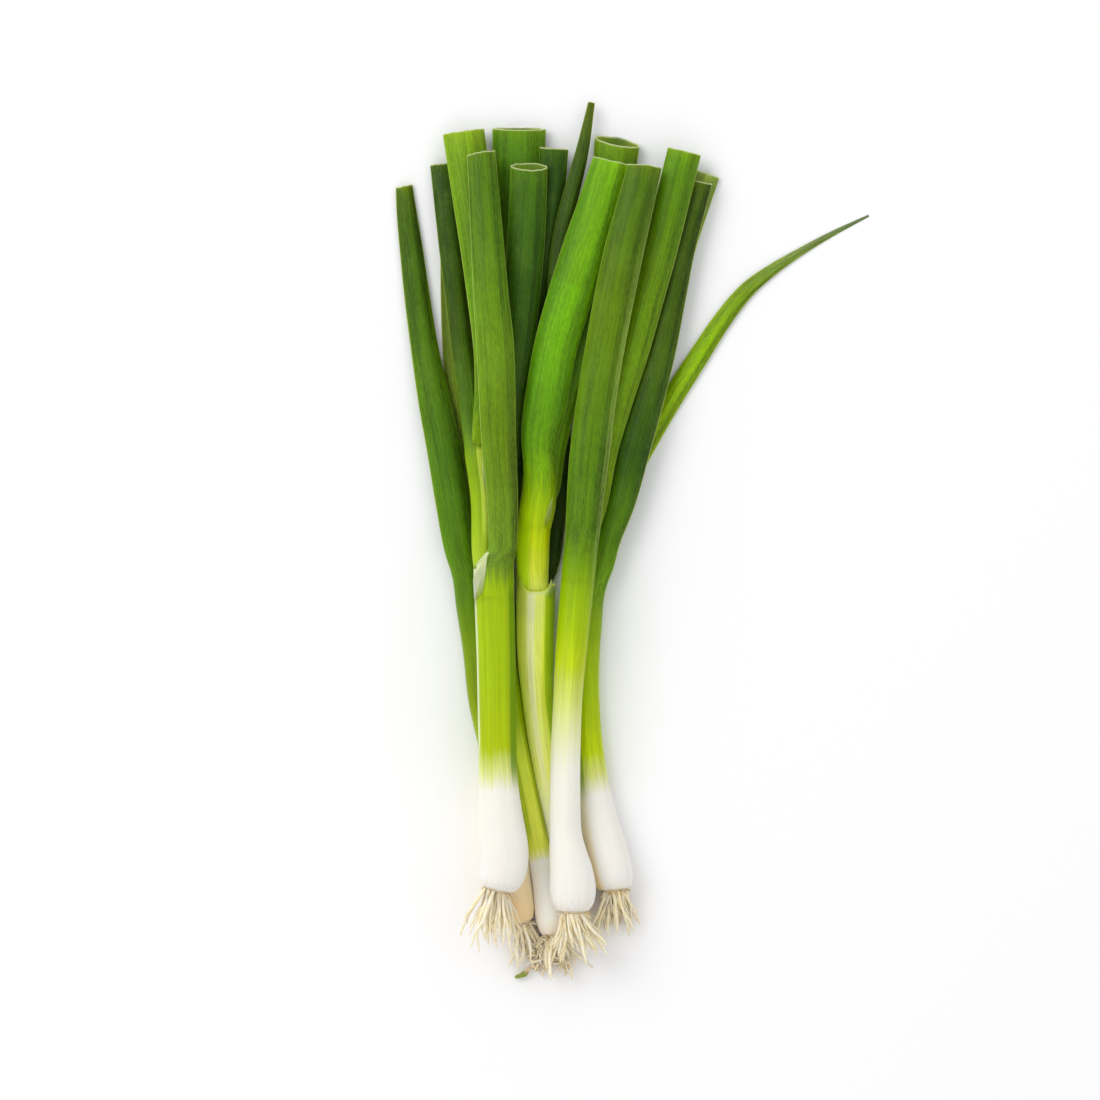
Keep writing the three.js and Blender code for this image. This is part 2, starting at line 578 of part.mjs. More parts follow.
// A root plate and its roots. A root that would come too near another plant is drawn again, shorter and
// shorter, and left out if it never fits.
const TRIES = 60;
const SHORTENING = 0.5; // share of its length that a root has lost at the last try
function tuftSolid(tuft, others, seed) {
  const { stations } = byName.get(`onion_${tuft.plant}_shank`);
  const { right, up, along } = frameAt(stations, 0);
  const away = along.clone().negate();
  const { x, y, z, a } = stations[0];
  const face = new THREE.Vector3(x, y, z).addScaledVector(away, PLATE_GAP);
  const centre = face.clone().addScaledVector(away, PLATE_HEIGHT / 2);
  const plate = { face, centre, right, up, away, radius: a * PLATE_WIDTH };
  const random = randomFrom(seed);
  const own = [{ p: centre, r: plate.radius }];
  let solid = plateSolid(plate);
  for (let k = 0; k < tuft.roots; k++) {
    for (let n = 0; n < TRIES; n++) {
      const share = (LENGTH_SPREAD[0] + LENGTH_SPREAD[1] * random()) * (1 - (SHORTENING * n) / TRIES);
      const line = drawRoot(tuft, plate, k, tuft.length * share, random);
      const row = beads(line, ROOT_RADIUS);
      if (!isClear(row, others)) continue;
      own.push(...row);
      solid = solid.add(rootSolid(line));
      break;
    }
  }
  return { solid, own };
}

// One tapering root along its line.
function rootSolid(line) {
  const stations = line.map((p, i) => {
    const r = ROOT_RADIUS + ((ROOT_TIP - ROOT_RADIUS) * i) / (line.length - 1);
    return { x: p.x, y: p.y, z: p.z, a: r, b: r };
  });
  return solidThrough(stations.map((_, i) => ringAt(stations, i, ROOT_SIDES, 0)));
}

// Everything under the surface is taken off, which leaves the flat spots that the bunch rests on.
const GROUND_SIZE = 400;
const GROUND_DEPTH = 20;
const ground = new THREE.BoxGeometry(GROUND_SIZE, GROUND_SIZE, GROUND_DEPTH);
ground.translate(0, 0, -GROUND_DEPTH / 2);
ground.deleteAttribute('normal');
ground.deleteAttribute('uv');
const groundMesh = mergeVertices(ground);
const groundSolid = new wasm.Manifold(new wasm.Mesh({
  numProp: 3,
  vertProperties: groundMesh.attributes.position.array,
  triVerts: Uint32Array.from(groundMesh.index.array),
}));

function meshOf(name, solid, color, roughness) {
  const { numProp, vertProperties, triVerts } = solid.subtract(groundSolid).getMesh();
  const corners = new Float32Array(triVerts.length * 3);
  triVerts.forEach((v, i) => {
    for (let axis = 0; axis < 3; axis++) corners[i * 3 + axis] = vertProperties[v * numProp + axis];
  });
  const geometry = new THREE.BufferGeometry();
  geometry.setAttribute('position', new THREE.BufferAttribute(corners, 3));
  geometry.computeVertexNormals();
  const material = new THREE.MeshStandardMaterial({ color, roughness, metalness: 0 });
  const mesh = new THREE.Mesh(geometry, material);
  mesh.name = name;
  return mesh;
}

// Roughness of the surfaces.
const BULB_ROUGHNESS = 0.35;
const LEAF_ROUGHNESS = 0.5;
const ROOT_ROUGHNESS = 0.8;

// Leaves that aren't dark green.
const LEAF_COLOURS = {
  onion_a_leaf_1: MID_GREEN, onion_a_leaf_2: LIGHT_GREEN, onion_b_leaf_2: MID_GREEN,
  onion_c_leaf_2: MID_GREEN, onion_d_leaf_2: LIGHT_GREEN, onion_d_leaf_3: LIGHT_GREEN,
  onion_e_leaf_1: LIGHT_GREEN, onion_e_leaf_2: MID_GREEN,
};

layPieces();
const bunch = new THREE.Group();
for (const piece of PIECES) {
  if (piece.part) continue;
  const green = LEAF_COLOURS[piece.name] ?? DARK_GREEN;
  if (piece.from) bunch.add(meshOf(piece.name, leafSolid(piece), green, LEAF_ROUGHNESS));
  else bunch.add(meshOf(piece.name, shankSolid(piece), BULB_WHITE, BULB_ROUGHNESS));
}

const ROOT_SEED = 101;
const taken = PIECES.filter((piece) => !piece.from).flatMap(({ name, stations }) =>
  stations.map(({ x, y, z, a }) => ({ p: new THREE.Vector3(x, y, z), r: a, name })));
for (const [k, tuft] of TUFTS.entries()) {
  const others = taken.filter(({ name }) => name !== `onion_${tuft.plant}_shank`);
  const { solid, own } = tuftSolid(tuft, others, ROOT_SEED + k);
  taken.push(...own);
  bunch.add(meshOf(`onion_${tuft.plant}_roots`, solid, ROOT_CREAM, ROOT_ROUGHNESS));
}

export default bunch;
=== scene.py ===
"""Spring onion bunch: the finished surfaces of six whole plants that lie together on a table.

The pieces are laid out by the same rule as the model's solids, from the same named values: each piece
has a path in plan, and takes the lowest place that clears what was laid before it. Lengths are in
millimetres until a mesh is made. +Y runs towards the leaf tips, and +Z is up.
"""

import math
from collections import namedtuple
from types import SimpleNamespace

import bpy
import numpy as np
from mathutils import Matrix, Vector


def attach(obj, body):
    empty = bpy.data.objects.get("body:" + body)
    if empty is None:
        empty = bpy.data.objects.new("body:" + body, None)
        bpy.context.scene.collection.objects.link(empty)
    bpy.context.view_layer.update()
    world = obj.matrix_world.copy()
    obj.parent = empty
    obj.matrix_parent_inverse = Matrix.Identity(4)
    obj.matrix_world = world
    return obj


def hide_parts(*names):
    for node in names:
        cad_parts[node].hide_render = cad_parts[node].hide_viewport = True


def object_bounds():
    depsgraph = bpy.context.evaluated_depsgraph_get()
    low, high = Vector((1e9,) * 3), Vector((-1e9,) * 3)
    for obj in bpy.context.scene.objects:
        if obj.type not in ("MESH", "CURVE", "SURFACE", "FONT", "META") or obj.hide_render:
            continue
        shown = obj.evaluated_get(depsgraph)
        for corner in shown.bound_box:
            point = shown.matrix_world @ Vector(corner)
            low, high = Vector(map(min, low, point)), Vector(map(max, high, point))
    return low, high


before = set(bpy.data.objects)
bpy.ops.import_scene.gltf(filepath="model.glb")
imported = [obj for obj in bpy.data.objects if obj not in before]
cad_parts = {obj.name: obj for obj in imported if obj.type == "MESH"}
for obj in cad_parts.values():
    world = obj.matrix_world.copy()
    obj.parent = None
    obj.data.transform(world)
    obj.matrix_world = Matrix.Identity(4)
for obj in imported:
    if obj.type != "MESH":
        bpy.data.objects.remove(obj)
cad_low, cad_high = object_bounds()

MM = 0.001

# The layout's driving dimensions, as in the model's source.
AIR = 0.6  # clear height kept between a piece and what it lies on
SEAT = 0.35  # depth to which a piece that lies on the surface is flattened by it
MOUTH_DEPTH = 5  # depth of a sheath's open mouth
BASE_DEPTH = 3.5  # length of a leaf that stands in the mouth
LEAF_SAG = 0.0012  # curvature in which a leaf hangs between two supports, per mm
STEM_SAG = 0.0002  # the same for a stem
LEAF_FALL = 0.22  # steepest slope at which a leaf goes down towards its tip
STEM_FALL = 0.1  # the same for a stem
FINE = 64  # steps along a piece while it is laid
SMOOTHING = 3  # stations each side over which a bend is rounded
START_ROOM = 0.1  # a laid piece is taken to reach back this share of its first step
END_ROOM = 3  # and this much further at its end, for its slanted cut
# Places across a piece, from -1 to 1, at which it has to clear what lies under it.
ACROSS = np.array([-0.98, -0.9, -0.75, -0.5, -0.25, 0, 0.25, 0.5, 0.75, 0.9, 0.98])
PLATE_HEIGHT = 1.3  # of the button that a plant's roots grow from
PLATE_GAP = 0.3  # clear length between it and the bulb
PLATE_WIDTH = 0.86  # over the width of the bulb's underside
ROOT_RADIUS = 0.68
ROOT_TIP = 0.4  # a root's radius at its end
ROOT_AIR = 0.45  # clear distance between roots and the next plant
ROOT_STEPS = 4  # straight stretches of a root's line
ROOT_SEED = 101
TRIES = 60  # lines that are drawn for a root before it is left out
SHORTENING = 0.5  # share of its length that a root has lost at the last try
GOLDEN_ANGLE = math.pi * (3 - math.sqrt(5))  # from one root to the next round the plate
SPIN_SPREAD = 0.6  # random turn about the bulb's axis
PLATE_SHARE = 0.82  # the outermost root's place on the plate, over its radius
LEAN_SPREAD = (0.7, 0.6)  # a root's own share of the fan: the least, and the random rest
LENGTH_SPREAD = (0.72, 0.38)  # its own share of the length, likewise
WAVER = 0.35  # random turn to the side
WAVER_BACK = -0.6  # share of it that is turned back at the next step
SHIVER = 0.12  # random turn at each step
LIFT = 0.1  # clear height kept over the surface
BEAD_STEP = 0.7  # distance between the points at which a root's clearance is tested

PIECES = []
by_name = {}


def add_piece(name, flat, *path, host=None, seat=0.0, cut=None, neck=False, rise=None):
    """Lists a piece: its section's height over its width, and its path of (x, y, width) from the base up.
    A leaf stands in its host's mouth, at its seat's height over the mouth's middle, and its cut end leans
    back by (lean, skew). A neck is a further stretch of its host's stem. A rise is the least slope of a
    neck that its leaves hold up."""
    piece = SimpleNamespace(
        name=name, flat=flat, path=np.array(path, float), host=by_name.get(host), seat=seat, cut=cut,
        neck=neck, rise=rise,
    )
    by_name[name] = piece
    PIECES.append(piece)


# The pieces in laying order.
add_piece(
    "f_shank", 0.97,
    (-37.4, -128.6, 7.6), (-38.4, -125.1, 10.2), (-40.1, -117.6, 11.7), (-42, -104, 11.7),
    (-44.4, -87.7, 9.3), (-46.8, -74.1, 8.2), (-51.5, -53.7, 7.8), (-53.1, -36.7, 8.4), (-54.9, -21.4, 9.5),
)
add_piece(
    "b_shank", 0.97,
    (-26.7, -132.6, 8), (-27.2, -129.2, 10.2), (-28, -123.4, 10.3), (-29.4, -114.9, 9.2),
    (-31.3, -106.4, 8.2), (-33.3, -96.2, 7.5), (-35.7, -84.3, 7.1), (-39.4, -65.6, 7.1), (-41.3, -53.7, 7.6),
    (-43.2, -40.1, 7.8), (-43.9, -23.8, 8.8),
)
add_piece(
    "d_shank", 0.97,
    (-6, -117.2, 10.8), (-6.3, -114.9, 13), (-7.6, -109.5, 14), (-9.1, -103, 13.5), (-10.8, -96.2, 12.6),
    (-12.4, -87.7, 11.1), (-14.6, -70.7, 9.3), (-15.5, -52, 8.3), (-15.5, -38, 8.6), (-15, -26, 9.4),
)
add_piece(
    "e_shank", 0.9,
    (-18.2, -121.5, 7), (-18.5, -119, 9.4), (-19.7, -113.5, 10.2), (-22.3, -104.7, 9.8), (-25.2, -92.8, 9.4),
    (-27.8, -80.9, 9.6), (-30.2, -67.3, 10), (-32, -53.7, 10.4), (-32.8, -38, 12.1), (-32.8, -17, 13.2),
)
add_piece(
    "f_leaf_2", 0.45,
    (-54.9, -24.9, 4.4), (-55.8, -2.7, 5.8), (-57, 21.1, 6.1), (-58.8, 41.5, 6.1), (-60.9, 56.8, 5.8),
    (-62.1, 75.5, 5.6), (-62.9, 103.4, 4.8),
    host="f_shank", seat=-1.7, cut=(0, 0),
)
add_piece(
    "f_leaf_1", 0.45,
    (-54.7, -24.9, 5.4), (-54.9, -20.8, 5.6), (-55.2, -17.5, 8.4), (-55.9, -13, 9.4), (-58.3, -2.7, 10.9),
    (-61, 14.3, 11.9), (-63.8, 31.3, 11.9), (-67.2, 48.3, 11.1), (-70.4, 65.3, 9.5), (-72.9, 82.3, 8.8),
    (-75, 99.3, 8), (-76.5, 111.2, 7), (-77.5, 121, 5.8),
    host="f_shank", seat=1.4, cut=(0, 0.1),
)
add_piece(
    "b_leaf_2", 0.39,
    (-43.8, -27.3, 4.4), (-44, -22.4, 4.7), (-44.7, -14, 6.8), (-44.6, -4, 8.8), (-44, 14.3, 10.8),
    (-43, 38.1, 12.6), (-41.8, 61.9, 13.8), (-40.6, 82.3, 15), (-39.4, 102.7, 16.3), (-38.6, 123.1, 17.7),
    (-38.4, 140.4, 18.4),
    host="b_shank", seat=-2, cut=(0.15, 0),
)
add_piece(
    "b_leaf_3", 0.46,
    (-43.7, -27.3, 3.1), (-43.9, -22.4, 3.2), (-43.6, -14, 4.6), (-42.8, -4, 5.8), (-41.2, 14.3, 6.5),
    (-39.3, 31.3, 7.1), (-36.9, 48.3, 7.8), (-34.8, 65.3, 8.2), (-32.5, 82.3, 8.7), (-29.9, 99.3, 9.2),
    (-27.9, 114.6, 9.5), (-26.5, 133.6, 9.9),
    host="b_shank", seat=-0.1, cut=(0.1, 0),
)
add_piece(
    "d_leaf_3", 0.42,
    (-13.4, -29.5, 2.8), (-13.2, -24.8, 2.9), (-11.9, -16, 3.6), (-8.6, -3.4, 4.6), (-3.6, 12.2, 5.6),
    (1.4, 26, 6.4), (6.8, 36.7, 7), (13.4, 48.3, 7.2), (21.9, 61.9, 7), (30.8, 75.5, 6.3), (38.8, 85.4, 5.5),
    (47.2, 92.2, 4.2), (57.1, 98.6, 2.8), (68, 104.8, 1.9), (80.5, 111, 0.8),
    host="d_shank", seat=-1.4,
)
add_piece(
    "d_leaf_2", 0.45,
    (-16.7, -29.5, 2.8), (-16.6, -24.8, 3), (-15, -15, 4.6), (-12, -2.7, 6.1), (-7.5, 14.3, 6.8),
    (-3, 31.3, 7.5), (2.5, 48.3, 8.2), (8, 65.3, 8.2), (12.6, 82.3, 8.2), (17.9, 101, 8.2),
    (25.8, 125.1, 8.2),
    host="d_shank", seat=-1.4, cut=(0.1, 0),
)
add_piece(
    "d_leaf_1", 0.48,
    (-15.1, -29.5, 5), (-14.9, -25.2, 5.2), (-14, -22, 7.6), (-11.8, -12.9, 8.2), (-9.9, -6.1, 8.4),
    (-8.4, 0.7, 9), (-3.7, 14.3, 10.2), (0.7, 31.3, 10.9), (5.4, 48.3, 10.9), (9.7, 65.3, 10.4),
    (13.3, 82.3, 9.7), (17, 99.3, 8.8), (23.8, 122.1, 6.8),
    host="d_shank", seat=1.7, cut=(0, 0.1),
)
add_piece(
    "e_leaf_3", 0.45,
    (-31.4, -20.5, 3), (-31, -16, 3.2), (-28.6, -11.5, 4.8), (-27, -5, 5.6), (-25.8, 3, 5.4),
    (-24.6, 12, 4.8), (-23.2, 31.3, 5), (-24.2, 48.3, 5.7), (-25.6, 65.3, 6.1), (-25.8, 82.3, 6.1),
    (-24.8, 97.6, 6.1), (-22.4, 111.2, 5.8), (-17.2, 131.6, 4.6), (-13.8, 149.2, 2.4),
    host="e_shank", seat=-3.4,
)
add_piece(
    "e_neck", 0.68,
    (-33.5, -25, 9.2), (-33.5, -16.3, 9.6), (-33.8, -6.1, 10.8), (-33.3, 4.1, 10.8), (-32.1, 11.6, 11.8),
    host="e_shank", seat=1.2, neck=True, rise=0.12,
)
add_piece(
    "b_leaf_1", 0.47,
    (-43.9, -27.3, 3.9), (-44, -22.4, 4.1), (-44.1, -14, 5.8), (-43.9, -4, 7.6), (-43.9, 14.3, 9),
    (-43.6, 31.3, 9.8), (-41.9, 48.3, 10.8), (-39.3, 65.3, 11.9), (-37.6, 82.3, 12.4), (-36.2, 99.3, 12.8),
    (-35.4, 114.6, 12.8), (-35, 127.2, 12.6),
    host="b_shank", seat=1.8, cut=(0.5, 0),
)
add_piece(
    "e_leaf_2", 0.45,
    (-29.8, 8.1, 3.2), (-29.2, 12.6, 3.4), (-27.3, 17, 5), (-25.6, 32, 6.4), (-21.7, 48.3, 7),
    (-16.7, 65.3, 9.2), (-13.3, 82.3, 11.2), (-10.2, 99.3, 12.9), (-7.1, 116.3, 14.3), (-5.1, 136, 15.6),
    host="e_neck", seat=-0.9, cut=(0.5, -0.1),
)
add_piece(
    "a_shank", 0.93,
    (-45.6, -116.8, 11.8), (-45, -114.4, 14.6), (-43.7, -109.1, 16.3), (-43.7, -103, 16.5),
    (-44.5, -92.8, 14.6), (-45.2, -82.6, 12.9), (-45.6, -72.4, 12.4), (-45.9, -53.7, 12.6),
    (-46.2, -36.7, 12.8), (-46.9, -12.9, 13.3),
)
add_piece(
    "a_neck", 0.9,
    (-49.3, -21, 6.2), (-49.4, -14, 6.4), (-50.2, -8, 6.8), (-50.8, -2.7, 6.8), (-51.3, 14.3, 6.6),
    (-52.9, 29.2, 7.4),
    host="a_shank", seat=-1.2, neck=True,
)
add_piece(
    "a_leaf_3", 0.5,
    (-52.6, 25.7, 3.4), (-53.1, 30.6, 3.6), (-54.3, 37, 6), (-55.4, 48.3, 6.8), (-57.6, 65.3, 7.5),
    (-59.5, 82.3, 7.8), (-61.4, 99.3, 8.3), (-64.3, 128.5, 8.8),
    host="a_neck", seat=-1.4, cut=(0.1, 0),
)
add_piece(
    "a_leaf_2", 0.42,
    (-52.5, 25.7, 3.4), (-52.6, 30.6, 3.7), (-51, 39.8, 6.3), (-49.3, 50, 8.4), (-48.6, 65.3, 10.5),
    (-49.6, 82.3, 12.6), (-51.5, 99.3, 13.6), (-53.9, 116.3, 14.1), (-57.3, 139.4, 14.3),
    host="a_neck", seat=1.1, cut=(0.15, 0),
)
add_piece(
    "c_shank", 0.95,
    (-20.1, -124.4, 10.4), (-20.1, -122.2, 13.6), (-20.2, -117.3, 15.3), (-20.7, -111.5, 14.3),
    (-21.9, -104.7, 12.2), (-22.6, -97.9, 10.5), (-22.8, -87.7, 10), (-22.6, -70.7, 9.7),
    (-21.9, -53.7, 9.5), (-20.7, -36.7, 10.2), (-17.9, -6.8, 11.2),
)
add_piece(
    "c_leaf_2", 0.46,
    (-17.7, -10.3, 4), (-17, -5.6, 4.2), (-13.8, 4.1, 5.2), (-11.4, 14.3, 6.5), (-9, 31.3, 8.5),
    (-4.6, 48.3, 9.9), (0.5, 65.3, 10.7), (4.9, 82.3, 11.4), (9.5, 99.3, 11.7), (17.7, 132.6, 11.6),
    host="c_shank", seat=-2.1, cut=(0.15, 0),
)
add_piece(
    "a_leaf_1", 0.5,
    (-45.3, -16.4, 5), (-45, -12.2, 5.2), (-44.4, -9.2, 8.2), (-43.9, -5, 9), (-43.8, 2, 10),
    (-43.9, 14.3, 10.5), (-45.1, 31.3, 11.7), (-46.4, 65.3, 12.9), (-47.8, 82.3, 12.1), (-50, 114.6, 10.5),
    (-51.2, 131.6, 9.7),
    host="a_shank", seat=2.5, cut=(0, 0.1),
)
add_piece(
    "e_leaf_1", 0.46,
    (-33.7, 8.1, 4.4), (-33.8, 13, 4.6), (-33.6, 19.5, 9.2), (-32.8, 25.5, 11), (-32.1, 33.7, 12.3),
    (-30.5, 41.5, 13.8), (-29.3, 47.6, 14.7), (-26.2, 65.3, 14.8), (-21.4, 82.3, 15.3), (-16, 99.3, 15.5),
    (-11.7, 112.9, 14.5), (-7, 129.2, 12.9),
    host="e_neck", seat=1, cut=(0.1, 0.05),
)
add_piece(
    "c_leaf_1", 0.46,
    (-18.2, -10.3, 6.2), (-17.8, -6, 6.4), (-17.5, -3, 10), (-17, 0.7, 11.4), (-16, 14.3, 12.6),
    (-14.5, 29.6, 13.6), (-12.4, 46.6, 13.4), (-9.4, 65.3, 13.4), (-6.3, 82.3, 13.6), (-2.7, 99.3, 13.4),
    (4.2, 127.2, 11.6),
    host="c_shank", seat=1.8, cut=(0, 0.14),
)

# A plant's thick roots: how many there are, their length, how far the outermost spread from the bulb's
# axis, how much each step turns down, and how far they all lean to the right.
Tuft = namedtuple("Tuft", "plant roots length fan drop aim")
TUFTS = [
    Tuft("f", 12, 17, 0.45, 0.12, 0),
    Tuft("b", 15, 16, 0.60, 0.10, -0.20),
    Tuft("d", 16, 17, 0.40, 0.12, -0.05),
    Tuft("e", 10, 15, 0.45, 0.12, 0),
    Tuft("a", 20, 22, 0.45, 0.12, 0.20),
    Tuft("c", 20, 18, 0.45, 0.10, 0.25),
]


def unit(vectors):
    """A vector, or each row of them, at a length of one."""
    return vectors / np.linalg.norm(vectors, axis=-1, keepdims=True)


def walk(piece):
    """Stations along a piece's path: x, y, z, half width, half height and distance, one row each."""
    path = piece.path
    last = len(path) - 1
    run = np.concatenate([[0], np.cumsum(np.hypot(*np.diff(path[:, :2], axis=0).T))])
    before = np.maximum(np.arange(last + 1) - 1, 0)
    after = np.minimum(np.arange(last + 1) + 1, last)
    slope = (path[after] - path[before]) / (run[after] - run[before])[:, None]
    s = np.linspace(0, run[last], FINE + 1)
    k = np.clip(np.searchsorted(run, s, side="left") - 1, 0, last - 1)
    span = (run[k + 1] - run[k])[:, None]
    t = (s[:, None] - run[k][:, None]) / span
    value = (
        (2 * t**3 - 3 * t**2 + 1) * path[k]
        + (t**3 - 2 * t**2 + t) * span * slope[k]
        + (3 * t**2 - 2 * t**3) * path[k + 1]
        + (t**3 - t**2) * span * slope[k + 1]
    )
    half = value[:, 2] / 2
    return np.column_stack([value[:, :2], np.zeros(FINE + 1), half, half * piece.flat, s])


def sideways(stations):
    """Unit vectors to the right of a piece at each station, in plan."""
    ahead = np.vstack([stations[1:], stations[-1:]])[:, :2]
    behind = np.vstack([stations[:1], stations[:-1]])[:, :2]
    way = unit(ahead - behind)
    return np.column_stack([way[:, 1], -way[:, 0]])


def height_under(laid, points):
    """The highest point of the laid pieces over each point in plan, or the surface itself."""
    top = np.full(len(points), -SEAT - AIR)
    for other in laid:
        p, q = other.stations[:-1], other.stations[1:]
        way = (q - p)[:, :2]
        length = np.linalg.norm(way, axis=1)
        offset = points[:, None, :] - p[None, :, :2]
        t = np.einsum("ijk,jk->ij", offset, way) / length**2
        off = np.abs(offset[..., 0] * way[:, 1] - offset[..., 1] * way[:, 0]) / length
        low = np.zeros(len(p))
        low[0] = -START_ROOM
        high = np.ones(len(p))
        high[-1] = 1 + END_ROOM / length[-1]
        f = np.clip(t, 0, 1)
        z, a, b = (p[:, k] + (q - p)[:, k] * f for k in (2, 3, 4))
        inside = (t >= low) & (t <= high) & (off < a)
        rise = z + b * np.sqrt(np.maximum(1 - (off / a) ** 2, 0))
        top = np.maximum(top, np.where(inside, rise, -np.inf).max(axis=1))
    return top


def lowest_heights(stations, laid):
    """The lowest height at which each station of a piece clears what is laid."""
    right = sideways(stations)
    need = np.full(len(stations), -np.inf)
    for u in ACROSS:
        under = height_under(laid, stations[:, :2] + right * (u * stations[:, 3:4]))
        need = np.maximum(need, under + AIR + stations[:, 4] * math.sqrt(1 - u * u))
    return need


def drape(s, need, first, sag, fall):
    """Heights along a piece that hangs over its supports with one curvature and a limited slope."""
    count = len(s)
    wide = need.copy()
    for i in range(first + 1, count):
        wide[i] = need[max(i - SMOOTHING, first) : i + SMOOTHING + 1].max()
    straight = wide - sag * s**2 / 2
    hull = []
    for i in range(first, count):
        while len(hull) > 1:
            p, q = hull[-2:]
            rise = (straight[q] - straight[p]) / (s[q] - s[p])
            if (straight[i] - straight[q]) / (s[i] - s[q]) < rise:
                break
            hull.pop()
        hull.append(i)
    z = np.interp(s, s[hull], straight[hull]) + sag * s**2 / 2
    for i in range(first + 1, count):
        z[i] = max(z[i], z[i - 1] - fall * (s[i] - s[i - 1]))
    if first == 0:
        for i in range(count - 2, -1, -1):
            z[i] = max(z[i], z[i + 1] - fall * (s[i + 1] - s[i]))
    for _ in range(SMOOTHING):
        z[first + 1 : -1] = (z[first:-2] + 2 * z[first + 1 : -1] + z[first + 2 :]) / 4
    return z


def lay_pieces():
    """Lays the pieces in turn, and gives each of their stations its height."""
    laid = []
    for piece in PIECES:
        stations = walk(piece)
        host = piece.host
        others = [other for other in laid if other is not host and not (other.neck and other.host is host)]
        need = lowest_heights(stations, others)
        first = 0
        if host:
            mouth = host.stations[-1]
            below = host.stations[np.argmax(host.stations[:, 5] > mouth[5] - MOUTH_DEPTH)]
            slope = (mouth[2] - below[2]) / (mouth[5] - below[5])
            depth = BASE_DEPTH + (MOUTH_DEPTH if piece.neck else 0)
            first = int(np.argmax(stations[:, 5] >= depth))
            base = slice(first + 1)
            stations[base, 2] = mouth[2] + (stations[base, 5] - depth) * slope + piece.seat
            need[base] = stations[base, 2]
        sag, fall = (LEAF_SAG, LEAF_FALL) if host and not piece.neck else (STEM_SAG, STEM_FALL)
        if piece.rise:
            fall = -piece.rise
        stations[first:, 2] = drape(stations[:, 5], need, first, sag, fall)[first:]
        piece.stations = stations
        piece.rim = first
        laid.append(piece)


# Surfaces. Every piece is a set of grids of points with surface coordinates: the place round the section
# and along the bunch, which the materials are drawn by.
SURFACE_SEED = 1000
LEAF_SIDES = 56
SHANK_SIDES = 80
STEP = 1.2  # distance between rings
LEAF_DENT = 0.09  # how far a leaf's section is drawn in between its ridges, over its radius
STEM_DENT = 0.025
RIDGES = (2, 3, 5, 7)  # waves round a section
RIDGE_DRIFT = 0.012  # radians that a ridge turns round its piece, for each millimetre
RIDGE_SWAY = (0.35, 0.02, 0.05)  # radians to either side, and the least and most of its waves
SIDE_SHARE = 0.15  # share of a dent that a section loses in width
TOP_SHARE = 0.975  # height of a stem's section, over the model's, whose sides are straight
CREASES = 3  # grooves along a leaf where it has been pressed
CREASE_DEPTH = 0.05
CREASE_WIDTH = 0.16  # radians
CREASE_SIDES = (0.15, 0.85)  # shares of the upper half round between which it begins
CREASE_SWAY = (0.25, 0.01, 0.03)
CREASE_FADING = (0.5, 0.015, 0.04)
CUT_WALL = 0.4  # a leaf's wall at its cut end
CUT_RUN = 9  # length over which a leaf leans into its slanted cut
RAGGED = 0.16  # unevenness of a cut edge
RAGGED_KNOTS = 30
OPEN_DEPTH = 45  # length of a hollow that is drawn inside a cut end
OPEN_FROM = 10  # and the least distance past the mouth at which it ends
NOT_CUT = 1000  # distance from a cut edge that says there is none
SHEATH_ROOM = 14  # length of a leaf's sheath that is drawn inside its host
SHEATH_SUNK = 0.04  # how far that begins under the host's surface, over its radius
SHEATH_RISE = 12  # length over which it comes up to it
STEM_SPREAD = 0.2  # how much wider a stem is drawn on each side, which closes the thin gaps between them
RIM_RISE = (8, 3)  # how far an open sheath's rim rises at its left side and its right side
RIM_RUN = 14
RIM_CURVE = 3  # power of the curve up to either side
PALE_RIM = 1.6  # length over which the rim of an open sheath turns pale
PALE_FROM = -0.6  # place across it, from -1 to 1, to the right of which it does so
PALE_BLEND = 0.5
TUCK = 0.05  # how far a sheath is drawn in under the leaf that it turns into
TUCK_RUN = 7

# Leaves that their stem turns into: from one distance past its mouth to another, the stem's section
# becomes the leaf's.
MERGES = {
    "f_leaf_1": (0, 20),
    "b_leaf_1": (0, 14),
    "d_leaf_1": (0, 18),
    "a_leaf_1": (3.5, 10.5),
    "a_leaf_3": (0, 12),
    "e_leaf_1": (0, 28),
    "c_leaf_1": (0, 16),
}

# How far a leaf's section is from an oval to a pressed tube with a fold at each side.
PRESSED = 0.8
PRESSED_FROM = 6  # distances past the mouth
PRESSED_TO = 40
PRESSED_AT_CUT = 0.35  # what is left of it at an open cut end
FOLD = 2.4  # power of the curve from fold to fold

# Tongues of thin pale skin: the stem they stand on, distances past its mouth, the places across it at
# either end from -1 to 1, the width over the stem's, how far the tip stands off, and how pale it is.
TONGUES = [
    ("e_neck", (-6, 5), (0.64, 0.68), 0.2, 0.2, 0.3),
    ("e_shank", (-2, 4.5), (0.72, 0.76), 0.16, 0.1, 0.6),
    ("a_neck", (-13, 4.5), (0.6, 0.72), 0.34, 0.2, 0.8),
    ("a_shank", (-8, 9.4), (-1.15, -0.26), 0.42, 0.25, 1.0),
]
TONGUE_LIFT = 0.08  # height of a tongue over the stem
TONGUE_WALL = 0.1
TONGUE_TAPER = 1.6  # power of its narrowing towards the tip
TONGUE_FOOT = (0.2, 3)  # share of its width that its foot begins with, and how fast it spreads
TONGUE_TIP = 0.01  # share of its width that is left at the tip
TONGUE_PEEL = 4  # how fast it comes off the stem
TONGUE_FADE = 0.7  # share of its length over which it turns pale
TONGUE_ROWS = 18
TONGUE_COLUMNS = 8
TONGUE_LIMIT = 0.99  # the furthest place across the stem that it reaches

BOX = np.array([cad_low, cad_high]) / MM


def add_object(name, data):
    made = bpy.data.objects.new(name, data)
    bpy.context.scene.collection.objects.link(made)
    return made


